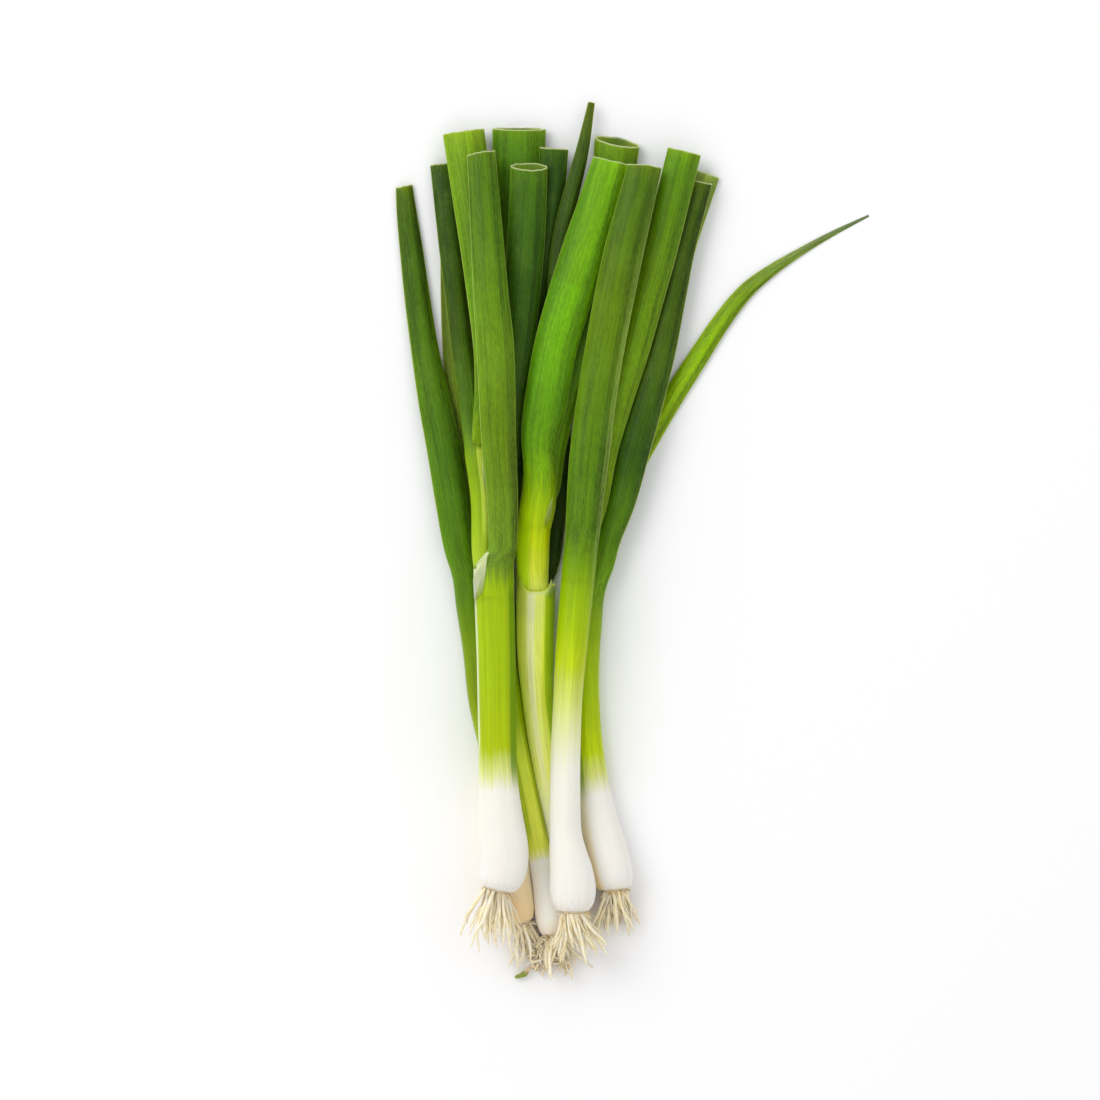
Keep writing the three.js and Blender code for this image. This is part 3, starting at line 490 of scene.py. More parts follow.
class Surface:
    """The points, surface coordinates and faces of one piece."""

    def __init__(self):
        self.points = []
        self.skin = []
        self.values = {"edge": [], "inside": [], "side": [], "pale": []}
        self.faces = []
        self.slots = []
        self.count = 0

    def add_points(self, points, skin, **values):
        """Points with their surface coordinates: the distance from a cut edge, whether they are inside a
        hollow, the place across the section, and how pale they are."""
        self.points.append(points.reshape(-1, 3))
        self.skin.append(np.broadcast_to(skin, points.shape).reshape(-1, 3))
        values = {"edge": NOT_CUT, "inside": 0.0, "side": 0.0, "pale": 0.0, **values}
        for label, value in values.items():
            self.values[label].append(np.broadcast_to(value, points.shape[:-1]).reshape(-1))
        start = self.count
        self.count += points.size // 3
        return start

    def add_faces(self, faces, slot):
        self.faces.extend(faces)
        self.slots.extend([slot] * len(faces))

    def add_grid(self, points, skin, slot=0, turned=False, **values):
        """Rows of points round a section, joined by quads."""
        rows, columns = points.shape[:2]
        start = self.add_points(points, skin, **values)
        index = start + np.arange(rows * columns).reshape(rows, columns)
        index = np.hstack([index, index[:, :1]])
        corners = [index[:-1, :-1], index[1:, :-1], index[1:, 1:], index[:-1, 1:]]
        if turned:
            corners.reverse()
        self.add_faces(np.stack(corners, -1).reshape(-1, 4).tolist(), slot)

    def add_cap(self, ring, skin, slot=0, turned=False):
        """A fan over one ring."""
        start = self.add_points(ring, skin)
        middle = self.add_points(ring.mean(axis=0)[None], skin.mean(axis=0)[None])
        around = start + np.arange(len(ring))
        after = np.roll(around, -1)
        if turned:
            around, after = after, around
        self.add_faces([[middle, int(p), int(q)] for p, q in zip(around, after)], slot)

    def finish(self, name, slot, *materials):
        """Makes the Blender object that stands for the model's node of that name."""
        node = f"onion_{name}"
        points = np.clip(np.vstack(self.points), *BOX)
        mesh = bpy.data.meshes.new(f"{node}_fine")
        mesh.from_pydata((points * MM).tolist(), [], self.faces)
        mesh.polygons.foreach_set("use_smooth", [True] * len(mesh.polygons))
        mesh.polygons.foreach_set("material_index", self.slots)
        skin = mesh.attributes.new("skin", "FLOAT_VECTOR", "POINT")
        skin.data.foreach_set("vector", np.vstack(self.skin).astype(np.float32).ravel())
        for label, values in self.values.items():
            attribute = mesh.attributes.new(label, "FLOAT", "POINT")
            attribute.data.foreach_set("value", np.concatenate(values).astype(np.float32))
        for material in materials:
            mesh.materials.append(material)
        mesh.update()
        piece = add_object(f"{node}_fine", mesh)
        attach(piece, "root")
        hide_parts(node)


def smoothstep(x):
    x = np.clip(x, 0, 1)
    return x * x * (3 - 2 * x)


def at_distances(stations, s):
    """A piece's stations at other distances, on a smooth curve through its own."""
    own = stations[:, 5]
    k = np.clip(np.searchsorted(own, s, side="right") - 1, 0, len(own) - 2)
    t = ((s - own[k]) / (own[k + 1] - own[k]))[:, None]
    p0, p1, p2, p3 = (stations[np.clip(k + n, 0, len(own) - 1)] for n in (-1, 0, 1, 2))
    bend = 2 * p0 - 5 * p1 + 4 * p2 - p3
    curve = 0.5 * (2 * p1 + (p2 - p0) * t + bend * t**2 + (3 * p1 - p0 - 3 * p2 + p3) * t**3)
    curve[:, 5] = s
    return curve


def past_mouth(host, distance):
    """A host's stations at distances from its mouth, carried straight on beyond it."""
    stations = host.stations
    mouth = stations[-1]
    inside = at_distances(stations, np.maximum(mouth[5] + np.minimum(distance, 0), 0))
    inside[:, :3] += np.maximum(distance, 0)[:, None] * unit(mouth[:3] - stations[-4, :3])
    inside[:, 3] += STEM_SPREAD
    inside[:, 4] *= TOP_SHARE
    inside[:, 5] = mouth[5] + distance
    return inside


def frames(stations):
    """Unit vectors right and up of a piece, and along it, at each station."""
    along = unit(np.gradient(stations[:, :3], stations[:, 5], axis=0))
    right = unit(np.column_stack([along[:, 1], -along[:, 0], np.zeros(len(along))]))
    return right, np.cross(right, along), along


def across(stations, u, v):
    """Points beside and above the stations, and their surface coordinates."""
    right, up, _ = frames(stations)
    points = stations[:, None, :3] + u[..., None] * right[:, None] + v[..., None] * up[:, None]
    return points, np.stack([u, v, np.broadcast_to(stations[:, 1:2], u.shape)], axis=-1)


def angles(sides):
    return np.arange(sides) * 2 * math.pi / sides


def rings(stations, sides, shrink=0.0, wall=0.0, slide=None, pressed=0.0):
    """Rings of points round the stations, drawn in by a share of their radius and by a wall."""
    angle = angles(sides)
    u = (stations[:, 3:4] - wall) * (1 - shrink * SIDE_SHARE) * np.cos(angle)
    folded = np.sign(np.sin(angle)) * (1 - np.abs(np.cos(angle)) ** FOLD)
    v = (stations[:, 4:5] - wall) * (1 - shrink) * (np.sin(angle) + (folded - np.sin(angle)) * pressed)
    points, skin = across(stations, u, v)
    if slide is not None:
        points = points + slide(u, v)[..., None] * frames(stations)[2][:, None]
    return points, skin


def sway(rng, s, size, least, most):
    """A slow wave along a piece, of a length and start drawn at random."""
    return size * np.sin(s * rng.uniform(least, most) + rng.uniform(0, 6))


def dents(rng, stations, sides, depth, creases=0):
    """How far each section is drawn in, as a share of its radius: soft ridges, and a few creases."""
    angle = angles(sides)[None]
    s = stations[:, 5:6]
    total = np.zeros((len(stations), sides))
    for k in RIDGES:
        drift = rng.uniform(-RIDGE_DRIFT, RIDGE_DRIFT) * s + sway(rng, s, *RIDGE_SWAY)
        total += np.cos(k * angle + rng.uniform(0, 6.3) + drift) / len(RIDGES)
    shrink = depth * (0.5 + 0.5 * total)
    for _ in range(creases):
        middle = rng.uniform(*CREASE_SIDES) * math.pi + sway(rng, s, *CREASE_SWAY)
        away = (angle - middle) / CREASE_WIDTH
        strength = 0.5 + sway(rng, s, *CREASE_FADING)
        shrink = shrink + CREASE_DEPTH * strength * np.exp(-(away**2))
    return shrink


def add_leaf(surface, piece, rng):
    """One leaf, from inside its host's mouth to its cut end or its tip."""
    own = piece.stations
    mouth_at = own[piece.rim, 5]
    merge = MERGES.get(piece.name)
    first = mouth_at - SHEATH_ROOM if merge else 0
    last = own[-1, 5]
    s = np.linspace(first, last, int((last - first) / STEP) + 2)
    stations = at_distances(own, np.maximum(s, 0))
    stations[:, :3] += np.minimum(s, 0)[:, None] * (own[1, :3] - own[0, :3]) / own[1, 5]
    stations[:, 5] = s
    shrink = dents(rng, stations, LEAF_SIDES, LEAF_DENT, CREASES)
    cut = piece.cut
    pressed = PRESSED * smoothstep((s - mouth_at - PRESSED_FROM) / (PRESSED_TO - PRESSED_FROM))
    if cut and cut[0]:
        pressed *= 1 - (1 - PRESSED_AT_CUT) * smoothstep((s - last + 3 * CUT_RUN) / (3 * CUT_RUN))
    pressed = pressed[:, None]
    cut_end = smoothstep((s - last + CUT_RUN) / CUT_RUN)[:, None]
    if cut:
        bumps = rng.uniform(-1, 1, RAGGED_KNOTS)
        bumps[-1] = bumps[0]
        wave = np.interp(angles(LEAF_SIDES), np.linspace(0, 2 * math.pi, RAGGED_KNOTS), bumps)

    def slide(u, v):
        ragged = RAGGED * wave * np.clip(1 + (s[:, None] - last) / STEP, 0, 1)
        return cut_end * (cut[1] * u - cut[0] * v) + ragged

    points, skin = rings(stations, LEAF_SIDES, shrink, 0.0, slide if cut else None, pressed)
    if merge:
        host = past_mouth(piece.host, s - mouth_at)
        sunk = SHEATH_SUNK * smoothstep(1 - (s - first) / SHEATH_RISE)
        stem_points, stem_skin = rings(host, LEAF_SIDES, sunk[:, None])
        start, end = merge
        share = smoothstep((s - mouth_at - start) / (end - start))[:, None, None]
        points = stem_points + (points - stem_points) * share
        skin = stem_skin + (skin - stem_skin) * share
    edge = np.broadcast_to((last - s if cut else np.full(len(s), NOT_CUT))[:, None], points.shape[:2])
    surface.add_grid(points, skin, edge=edge, side=np.cos(angles(LEAF_SIDES)))
    surface.add_cap(points[0], skin[0], turned=True)
    if not cut:
        surface.add_cap(points[-1], skin[-1])
        return
    open_rows = s > max(last - OPEN_DEPTH, mouth_at + OPEN_FROM)
    inner, inner_skin = rings(stations, LEAF_SIDES, shrink, CUT_WALL, slide, pressed)
    inner, inner_skin = inner[open_rows], inner_skin[open_rows]
    surface.add_grid(inner, inner_skin, turned=True, edge=edge[open_rows], inside=1.0)
    surface.add_cap(inner[0], inner_skin[0])
    rim = np.stack([points[-1], (points[-1] + inner[-1]) / 2, inner[-1]])
    rim_skin = np.stack([skin[-1], (skin[-1] + inner_skin[-1]) / 2, inner_skin[-1]])
    surface.add_grid(rim, rim_skin, edge=0.0, inside=0.5)


def add_stem(surface, piece, rng, tucked=True, slot=0):
    """One stretch of stem: a solid stem that a leaf takes over from, or a sheath with a pale rim."""
    last = piece.stations[-1, 5]
    s = np.linspace(0, last, int(last / STEP) + 2)
    stations = at_distances(piece.stations, s)
    stations[:, 3] += STEM_SPREAD
    stations[:, 4] *= TOP_SHARE
    side = np.cos(angles(SHANK_SIDES))
    shrink = dents(rng, stations, SHANK_SIDES, STEM_DENT)
    shrink *= smoothstep((last - s) / MOUTH_DEPTH)[:, None]
    pale = 0.0
    if tucked:
        shrink = shrink + TUCK * smoothstep(1 - (last - s) / TUCK_RUN)[:, None]
    else:
        pale = smoothstep(1 - (last - s) / PALE_RIM)[:, None] * smoothstep((side - PALE_FROM) / PALE_BLEND)

    def slide(u, v):
        rise = np.where(side < 0, *RIM_RISE) * np.abs(side) ** RIM_CURVE
        return rise * smoothstep((s - last + RIM_RUN) / RIM_RUN)[:, None]

    points, skin = rings(stations, SHANK_SIDES, shrink, slide=None if tucked else slide)
    surface.add_grid(points, skin, slot, side=side, pale=pale)
    surface.add_cap(points[0], skin[0], slot, turned=True)
    surface.add_cap(points[-1], skin[-1], slot)


def add_tongue(surface, stem, distances, sides, width, lift, pale, slot=0):
    """A tongue of thin skin that stands on a stem and narrows to its tip."""
    share = np.linspace(0, 1, TONGUE_ROWS)
    column = share[:, None]
    stations = past_mouth(stem, distances[0] + (distances[1] - distances[0]) * share)
    foot, spread = TONGUE_FOOT
    half = width * (1 + TONGUE_TIP - column**TONGUE_TAPER) * smoothstep(column * spread + foot)
    middle = sides[0] + (sides[1] - sides[0]) * column
    side = middle + half * np.linspace(-1, 1, TONGUE_COLUMNS)
    side = np.clip(side, -TONGUE_LIMIT, TONGUE_LIMIT)
    sheets = []
    for wall in (TONGUE_WALL, 0):
        off = (TONGUE_LIFT + wall) * smoothstep(column * TONGUE_PEEL) + lift * column**2
        u = (stations[:, 3:4] + off) * side
        v = (stations[:, 4:5] + off) * np.sqrt(1 - side**2)
        sheets.append(across(stations, u, v))
    (top, skin), (bottom, _) = sheets
    pairs = ((top, bottom), (skin, skin), (side, side))
    points, skin, side = (np.concatenate([upper, lower[:, ::-1]], axis=1) for upper, lower in pairs)
    pale = pale * smoothstep(column / TONGUE_FADE)
    surface.add_grid(points, skin, slot, turned=True, pale=pale, side=side)
    surface.add_cap(points[0], skin[0], slot)
    surface.add_cap(points[-1], skin[-1], slot, turned=True)


# Roots.
ROOT_SIDES = 7
STRAND_STEPS = 20
FINE_ROOTS = 2.8  # thin roots for each thick one
FINE_RADIUS = (0.3, 0.28)  # the least, and what is added to it at random
FINE_LENGTH = (0.4, 0.55)
FINE_FAN = (0.3, 1.2)  # over the tuft's
FINE_SEED = 301
STUBS = 10  # short dead roots round the plate
STUB_LENGTH = (1.2, 2.4)
STUB_RADIUS = 0.32
STUB_FAN = 2.2
KEPT_LENGTH = 0.97  # a root's length over the model's, which leaves room for its wavering
ROOT_BEND = 1.1  # how far a root bends from its line
ROOT_WAVES = (0.12, 0.34)  # the least and most waves of the bend, in radians to the millimetre
ROOT_WOBBLE = (0.16, 0.7, 1.2)  # how far it wavers along the bend, and the least and most of those waves
ROOT_SWELL = 0.1  # share by which its thickness comes and goes
SWELL_WAVES = (0.8, 1.6)
SKIN_SHIFT = 50  # how far apart the roots' places in the materials' noise may lie
TIP_THINNING = 0.85  # share of its section that a root has lost at its very tip
ROOT_BROWN = 0.25
STUB_BROWN = (0.5, 1.2)
CURLED = "b"  # the plant whose roots are dry, brown and curled
CURLED_BEND = 2.6
CURLED_BROWN = 0.7
PLATE_SIDES = 40
PLATE_RINGS = ((-0.6, 0.9), (-0.1, 0.96), (0.2, 0.94), (0.45, 0.8), (0.6, 0.5), (0.65, 0.2))
PLATE_ROUGH = 0.03  # unevenness of its rings
PLATE_PALE = 0.35
MASK = 0xFFFFFFFF

# The curled plant's longest dried roots: points of (x, y, z, radius). The first ends in a swollen tip that
# is green from a share of its length on.
DRIED_ROOTS = [
    [(-28.5, -133.8, 4, 0.6), (-31, -139.5, 3, 0.55), (-34.6, -144.8, 2, 0.6), (-37.2, -147, 1.6, 1.2),
     (-39.6, -148, 1.3, 0.9)],
    [(-25.2, -133.8, 4, 0.5), (-23.2, -139.6, 2.6, 0.5), (-24.4, -143, 1.8, 0.55), (-28, -143, 1.4, 0.5),
     (-30.8, -144.8, 1.1, 0.55), (-34, -145, 1, 0.45)],
    [(-27.6, -133.8, 4, 0.5), (-27, -138.6, 2.8, 0.5), (-29.8, -141.4, 2, 0.5), (-32.8, -140.2, 1.5, 0.45),
     (-35.4, -142.2, 1, 0.4)],
]
GREEN_FROM = 0.72
NOT_GREEN = 2.0  # past the end of any root
DRIED_BROWN = 0.8
GREEN_FADE = 0.1  # share of its length over which it turns green
DRIED_WAVER = (0.3, 1.3)  # how far a dried root wavers sideways, and in waves of how many radians
DRIED_FLAT = (0.3, 1.9)  # share of its height that it has lost where it is flattest, and those waves
DRIED_CURLS = 36  # thin dried roots in a tangle below the same plant
CURL_START = (-28.5, -133.6)
CURL_ENDS = ((-35.5, -21.0), (-147.3, -138.5))  # from and to, along X and along Y
CURL_TURNS = 8  # points along one
CURL_WANDER = (0.5, 1.0)  # how far they stray at its start, and how much further at its end
CURL_DROP = (0.7, 3.0)  # height of its end, and how much higher it starts
CURL_HEIGHT = 3.5  # what is added to the height at random
CURL_RADIUS = (0.42, 0.62)
CURL_TAPER = 0.35
CURL_BROWN = (0.0, 0.6)


def random_from(seed):
    """Seeded random numbers from 0 to 1, the same ones as the model's roots are drawn with."""
    state = seed

    def draw():
        nonlocal state
        state = (state + 0x6D2B79F5) & MASK
        t = ((state ^ (state >> 15)) * (state | 1)) & MASK
        t ^= (t + (((t ^ (t >> 7)) * (t | 61)) & MASK)) & MASK
        return ((t ^ (t >> 14)) & MASK) / 2**32

    return draw


def draw_root(tuft, plate, k, length, fan, radius, draw):
    """One root's line: it leaves the plate outwards, wavers, and bends down to the surface."""
    spin = k * GOLDEN_ANGLE + draw() * SPIN_SPREAD
    rim = math.sqrt(min((k + 0.5) / tuft.roots, 1))
    out = plate.right * math.cos(spin) + plate.up * math.sin(spin)
    point = plate.centre + out * (rim * plate.radius * PLATE_SHARE)
    lean = rim * fan * (LEAN_SPREAD[0] + LEAN_SPREAD[1] * draw())
    heading = unit(plate.away + out * lean + np.array([tuft.aim, 0, 0]))
    turn = (draw() - 0.5) * WAVER
    line = [point]
    for i in range(ROOT_STEPS):
        heading[0] += turn * (WAVER_BACK if i % 2 else 1) + (draw() - 0.5) * SHIVER
        heading[2] -= tuft.drop
        heading = unit(heading)
        point = point + heading * (length / ROOT_STEPS)
        point[2] = max(point[2], radius + LIFT)
        line.append(point)
    return np.array(line)


def beads(line):
    """Points along a line, close enough together to stand for it when its clearance is tested."""
    row = []
    for p, q in zip(line[:-1], line[1:]):
        parts = math.ceil(np.linalg.norm(q - p) / BEAD_STEP)
        row += [p + (q - p) * k / parts for k in range(parts)]
    return np.array(row + [line[-1]])


def clear_line(tuft, plate, k, length, fan, radius, draw, others):
    """A root's line that keeps clear of the other plants, or None."""
    for n in range(TRIES):
        share = (LENGTH_SPREAD[0] + LENGTH_SPREAD[1] * draw()) * (1 - SHORTENING * n / TRIES)
        line = draw_root(tuft, plate, k, length * share, fan, radius, draw)
        gap = np.linalg.norm(beads(line)[:, None] - others[None, :, :3], axis=2) - others[None, :, 3]
        if (gap > radius + ROOT_AIR).all():
            return line[0] + (line - line[0]) * KEPT_LENGTH
    return None


def root_lines(tuft, plate, seed, others):
    """The lines and radii of a tuft's thick roots, and then of its thin ones."""
    draw = random_from(seed)
    jobs = [(k, tuft.length, tuft.fan, ROOT_RADIUS, draw) for k in range(tuft.roots)]
    thin = random_from(FINE_SEED + seed)
    for k in range(int(tuft.roots * FINE_ROOTS)):
        length = tuft.length * (FINE_LENGTH[0] + FINE_LENGTH[1] * thin())
        fan = tuft.fan * (FINE_FAN[0] + FINE_FAN[1] * thin() ** 2)
        radius = FINE_RADIUS[0] + FINE_RADIUS[1] * thin()
        jobs.append((k / FINE_ROOTS, length, fan, radius, thin))
    found = [(clear_line(tuft, plate, *job, others), job[3]) for job in jobs]
    return [(line, radius) for line, radius in found if line is not None]


def lengths_along(line):
    """The length of a line up to each of its points."""
    return np.concatenate([[0], np.cumsum(np.linalg.norm(np.diff(line[:, :3], axis=0), axis=1))])


def add_strand(surface, stations, rng, brown, green=0.0):
    """One root along its stations, with its tip rounded off."""
    s = stations[:, 5]
    share = s / s[-1]
    size = np.sqrt(1 - TIP_THINNING * share**8)
    size *= 1 + ROOT_SWELL * np.sin(s * rng.uniform(*SWELL_WAVES))
    stations[:, 3:5] *= size[:, None]
    stations[:, 2] = np.maximum(stations[:, 2], stations[:, 4])
    points, skin = rings(stations, ROOT_SIDES)
    skin = skin + rng.uniform(0, SKIN_SHIFT, 3)
    inside = np.broadcast_to(green, s.shape)[:, None]
    surface.add_grid(points, skin, edge=(s[-1] - s)[:, None], pale=brown, inside=inside)
    surface.add_cap(points[-1], skin[-1])


def add_root(surface, line, radius, rng, bend, brown):
    """A root that bends and wavers about its line, and thins towards its tip."""
    run = lengths_along(line)
    s = np.linspace(0, run[-1], STRAND_STEPS)
    stations = at_distances(np.column_stack([line, np.zeros((len(line), 2)), run]), s)
    share = s / run[-1]
    for axis in (0, 2):
        start = rng.uniform(0, 6)
        curve = np.sin(s * rng.uniform(*ROOT_WAVES) + start) - math.sin(start)
        stations[:, axis] += (bend * curve + sway(rng, s, *ROOT_WOBBLE)) * share
    stations[:, 3:5] = (radius * (1 + (ROOT_TIP / ROOT_RADIUS - 1) * share))[:, None]
    add_strand(surface, stations, rng, brown)


def add_stubs(surface, tuft, plate, seed, rng):
    """Short dead roots that stand round the plate."""
    source = random_from(FINE_SEED - seed)
    for k in range(STUBS):
        length = STUB_LENGTH[0] + STUB_LENGTH[1] * source()
        line = draw_root(tuft, plate, tuft.roots + k, length, STUB_FAN, STUB_RADIUS, source)
        add_root(surface, line, STUB_RADIUS, rng, 0.0, rng.uniform(*STUB_BROWN))


def add_dried_root(surface, rng, knots, green_from=NOT_GREEN, brown=DRIED_BROWN):
    """A dried root through knots of (x, y, z, radius), uneven along its length."""
    run = lengths_along(knots)
    s = np.linspace(0, run[-1], 2 * STRAND_STEPS)
    stations = at_distances(np.column_stack([knots, knots[:, 3], run]), s)
    waver, waver_waves = DRIED_WAVER
    flat, flat_waves = DRIED_FLAT
    stations[:, 0] += waver * np.sin(s * waver_waves)
    stations[:, 4] *= 1 - flat * np.sin(s * flat_waves) ** 2
    add_strand(surface, stations, rng, brown, smoothstep((s / run[-1] - green_from) / GREEN_FADE))


def add_dried_curls(surface, rng):
    """A tangle of thin dried roots."""
    share = np.linspace(0, 1, CURL_TURNS)
    for _ in range(DRIED_CURLS):
        columns = []
        for start, ends in zip(CURL_START, CURL_ENDS):
            end = rng.uniform(*ends)
            stray = rng.normal(size=CURL_TURNS) * (CURL_WANDER[0] + CURL_WANDER[1] * share)
            columns.append(start + (end - start) * share + stray)
        columns.append(CURL_DROP[0] + CURL_DROP[1] * (1 - share) + rng.uniform(0, CURL_HEIGHT, CURL_TURNS))
        columns.append(rng.uniform(*CURL_RADIUS) * (1 - CURL_TAPER * share))
        add_dried_root(surface, rng, np.column_stack(columns), brown=rng.uniform(*CURL_BROWN))


def add_plate(surface, plate, rng):
    """The rough button that the roots grow from."""
    angle = angles(PLATE_SIDES)
    rows = []
    for distance, size in PLATE_RINGS:
        middle = plate.face + plate.away * (distance * PLATE_HEIGHT)
        size = size * plate.radius * (1 + PLATE_ROUGH * rng.normal(size=PLATE_SIDES))
        beside = plate.right * (size * np.cos(angle))[:, None]
        above = plate.up * (size * np.sin(angle))[:, None]
        rows.append(middle + beside + above)
    points = np.array(rows)
    surface.add_grid(points, points, edge=0.0, pale=PLATE_PALE, turned=True)
    surface.add_cap(points[-1], points[-1], turned=True)


def plate_of(plant):
    """The root plate under a plant's bulb."""
    stations = by_name[f"{plant}_shank"].stations
    along = unit(stations[1, :3] - stations[0, :3])
    right = unit(np.array([along[1], -along[0], 0]))
    face = stations[0, :3] - along * PLATE_GAP
    return SimpleNamespace(
        face=face, centre=face - along * PLATE_HEIGHT / 2, right=right, up=np.cross(right, along),
        away=-along, radius=stations[0, 3] * PLATE_WIDTH,
    )


def make_tufts(material):
    """The root plate and roots of each plant, as the model has them, with thin roots among them."""
    tufts_laid = []
    for seed, tuft in enumerate(TUFTS, ROOT_SEED):
        plate = plate_of(tuft.plant)
        stems = [piece.stations[:, :4] for piece in PIECES if not piece.host and piece.name[0] != tuft.plant]
        lines = root_lines(tuft, plate, seed, np.vstack(stems + tufts_laid))
        rng = np.random.default_rng(seed)
        surface = Surface()
        add_plate(surface, plate, rng)
        curled = tuft.plant == CURLED
        bend = CURLED_BEND if curled else ROOT_BEND
        brown = CURLED_BROWN if curled else ROOT_BROWN
        rows = [np.append(plate.centre, plate.radius)[None]]
        for line, radius in lines:
            add_root(surface, line, radius, rng, bend, brown * rng.uniform() ** 2)
            row = beads(line)
            rows.append(np.column_stack([row, np.full(len(row), radius)]))
        add_stubs(surface, tuft, plate, seed, rng)
        if curled:
            for number, knots in enumerate(DRIED_ROOTS):
                add_dried_root(surface, rng, np.array(knots), NOT_GREEN if number else GREEN_FROM)
            add_dried_curls(surface, rng)
        tufts_laid.append(np.vstack(rows))
        surface.finish(f"{tuft.plant}_roots", "root", material)


# Materials. Gradients run along +Y: the place, in millimetres, and the colour there as seen in daylight.
EXPOSURE = 1.12  # light on a level surface, over what shows a white one as white
GLOSS = 0.012  # light that a surface mirrors from all round
PALE = (236, 246, 168)  # thin skin that has dried
BARE_EDGE = (216, 228, 150)  # the cut edge of a leaf
WAX = (112, 142, 64)  # bloom on a dark leaf
FOLD_HIGHLIGHT = (168, 200, 84)  # painted highlight along the thin fold at either side of a leaf
FLANK_SHADE = -1.3  # painted shade: how much darker the right flank of a leaf is drawn
INNER_SHADE = [(-16, (40, 62, 8)), (-1, (112, 146, 44))]  # painted shade inside a hollow leaf, darker further in from its cut end
BULB_WHITE = (252, 249, 242)
BULB_SHADE = (246, 240, 226)
ROOT_CREAMS = [(0.3, (256, 236, 184)), (0.5, (266, 253, 216)), (0.7, (268, 262, 242))]
ROOT_END = (236, 206, 150)
EARTH = (164, 118, 60)
ROOT_GREEN = (150, 164, 80)
VEIN_DEPTH = 0.09  # millimetres of relief
ROOT_DEPTH = 0.12

# Noises: waves to the millimetre beside, above and along a piece, their detail and their roughness.
LONG_VEINS = (2.6, 2.6, 0.03), 3.0, 0.65
DASHES = (3.2, 3.2, 0.5), 2.0, 0.6
BROAD = (0.9, 0.9, 0.018), 2.0, 0.5
BANDS = (0.42, 0.42, 0.008), 2.0, 0.5
CLOUD = (0.16, 0.16, 0.06), 3.0, 0.6
SPECK = (3.2, 3.2, 1.6), 2.0, 0.7
ROOT_CLOUD = (0.35, 0.35, 0.35), 3.0, 0.6
ROOT_SPECK = (1.6, 1.6, 1.6), 3.0, 0.7


def linear(colour):
    """Linear RGBA of a colour from 0 to 255 as it shows, less what the light adds."""
    share = np.array(colour) / 255
    value = np.where(share <= 0.04045, share / 12.92, ((share + 0.055) / 1.055) ** 2.4)
    return (*(np.maximum(value - GLOSS, 0) / EXPOSURE), 1.0)


class Graph:
    """The nodes of one material, with short calls for the kinds that are used."""

    def __init__(self, name):
        self.material = bpy.data.materials.new(name)
        self.material.use_nodes = True
        self.tree = self.material.node_tree
        self.shader = self.tree.nodes["Principled BSDF"]

    def put(self, socket, value):
        if isinstance(value, bpy.types.NodeSocket):
            self.tree.links.new(value, socket)
        else:
            socket.default_value = value

    def node(self, kind, *values, **settings):
        """A node with its settings, and the values for its first sockets."""
        made = self.tree.nodes.new(f"ShaderNode{kind}")
        for key, value in settings.items():
            setattr(made, key, value)
        for socket, value in zip(made.inputs, values):
            self.put(socket, value)
        return made

    def attribute(self, name, output="Fac"):
        return self.node("Attribute", attribute_name=name).outputs[output]

    def chain(self, operation, first, *others):
        for other in others:
            first = self.node("Math", first, other, operation=operation).outputs[0]
        return first

    def plus(self, *values):
        return self.chain("ADD", *values)

    def times(self, *values):
        return self.chain("MULTIPLY", *values)

    def noise(self, vector, factors, detail, roughness):
        scaled = self.node("VectorMath", vector, factors, operation="MULTIPLY").outputs[0]
        made = self.node("TexNoise", scaled, noise_dimensions="3D")
        for label, value in (("Scale", 1.0), ("Detail", detail), ("Roughness", roughness)):
            made.inputs[label].default_value = value
        return made.outputs["Fac"]

    def span(self, value, low, high, out_low=0.0, out_high=1.0, kind="SMOOTHSTEP"):
        """A value from low to high as one from out_low to out_high, eased and held at both ends."""
        return self.node("MapRange", value, low, high, out_low, out_high, interpolation_type=kind).outputs[0]

    def mix(self, factor, first, second, blend="MIX"):
        """Two colours mixed. A Mix node takes them in its sockets 6 and 7, and gives one from its third."""
        made = self.node("Mix", factor, data_type="RGBA", blend_type=blend)
        self.put(made.inputs[6], first)
        self.put(made.inputs[7], second)
        return made.outputs[2]

    def tint(self, factor, below, colour):
        """A colour from 0 to 255 laid over the one below."""
        return self.mix(factor, below, linear(colour))

    def ramp(self, value, stops):
        """A colour along stops of (place, colour), from the lowest place to the highest."""
        low, high = stops[0][0], stops[-1][0]
        made = self.node("ValToRGB", self.span(value, low, high, kind="LINEAR"))
        elements = made.color_ramp.elements
        while len(elements) < len(stops):
            elements.new(0.5)
        for element, (place, colour) in zip(elements, stops):
            element.position = (place - low) / (high - low)
            element.color = linear(colour)
        return made.outputs[0]

    def bump(self, height, depth):
        """Normals for a height from 0 to 1 that stands for that depth in millimetres."""
        made = self.node("Bump")
        made.inputs["Distance"].default_value = depth * MM
        self.put(made.inputs["Height"], height)
        return made.outputs[0]

    def finish(self, **sockets):
        """Puts values on the shader's sockets, and gives the material."""
        for label, value in sockets.items():
            self.put(self.shader.inputs[label.replace("_", " ")], value)
        return self.material


# A stripe along a stem: its colour and strength, the places from -1 to 1 that it lies between across the
# stem at its top, the places along the bunch that it runs between, how far it leans to the left for each
# millimetre down, the length over which its top fades, how softly its sides do, and the length over which
# its bottom fades. Some stripes are the skin's own bands of colour, and some are painted shade, painted
# light and painted highlights on a flank.
Stripe = namedtuple(
    "Stripe", "tint strength sides run lean fade soft start", defaults=(0.0, 12.0, 0.12, 12.0)
)


def cover(graph, stripe, side, place):
    """How far a stripe covers a point."""
    low, high = stripe.sides
    bottom, top = stripe.run
    shifted = graph.plus(side, graph.times(place, -stripe.lean), top * stripe.lean)
    return graph.times(
        graph.span(shifted, low - stripe.soft, low),
        graph.span(shifted, high + stripe.soft, high),
        graph.span(place, bottom, bottom + stripe.start),
        graph.span(place, top, top - stripe.fade),
        stripe.strength,
    )


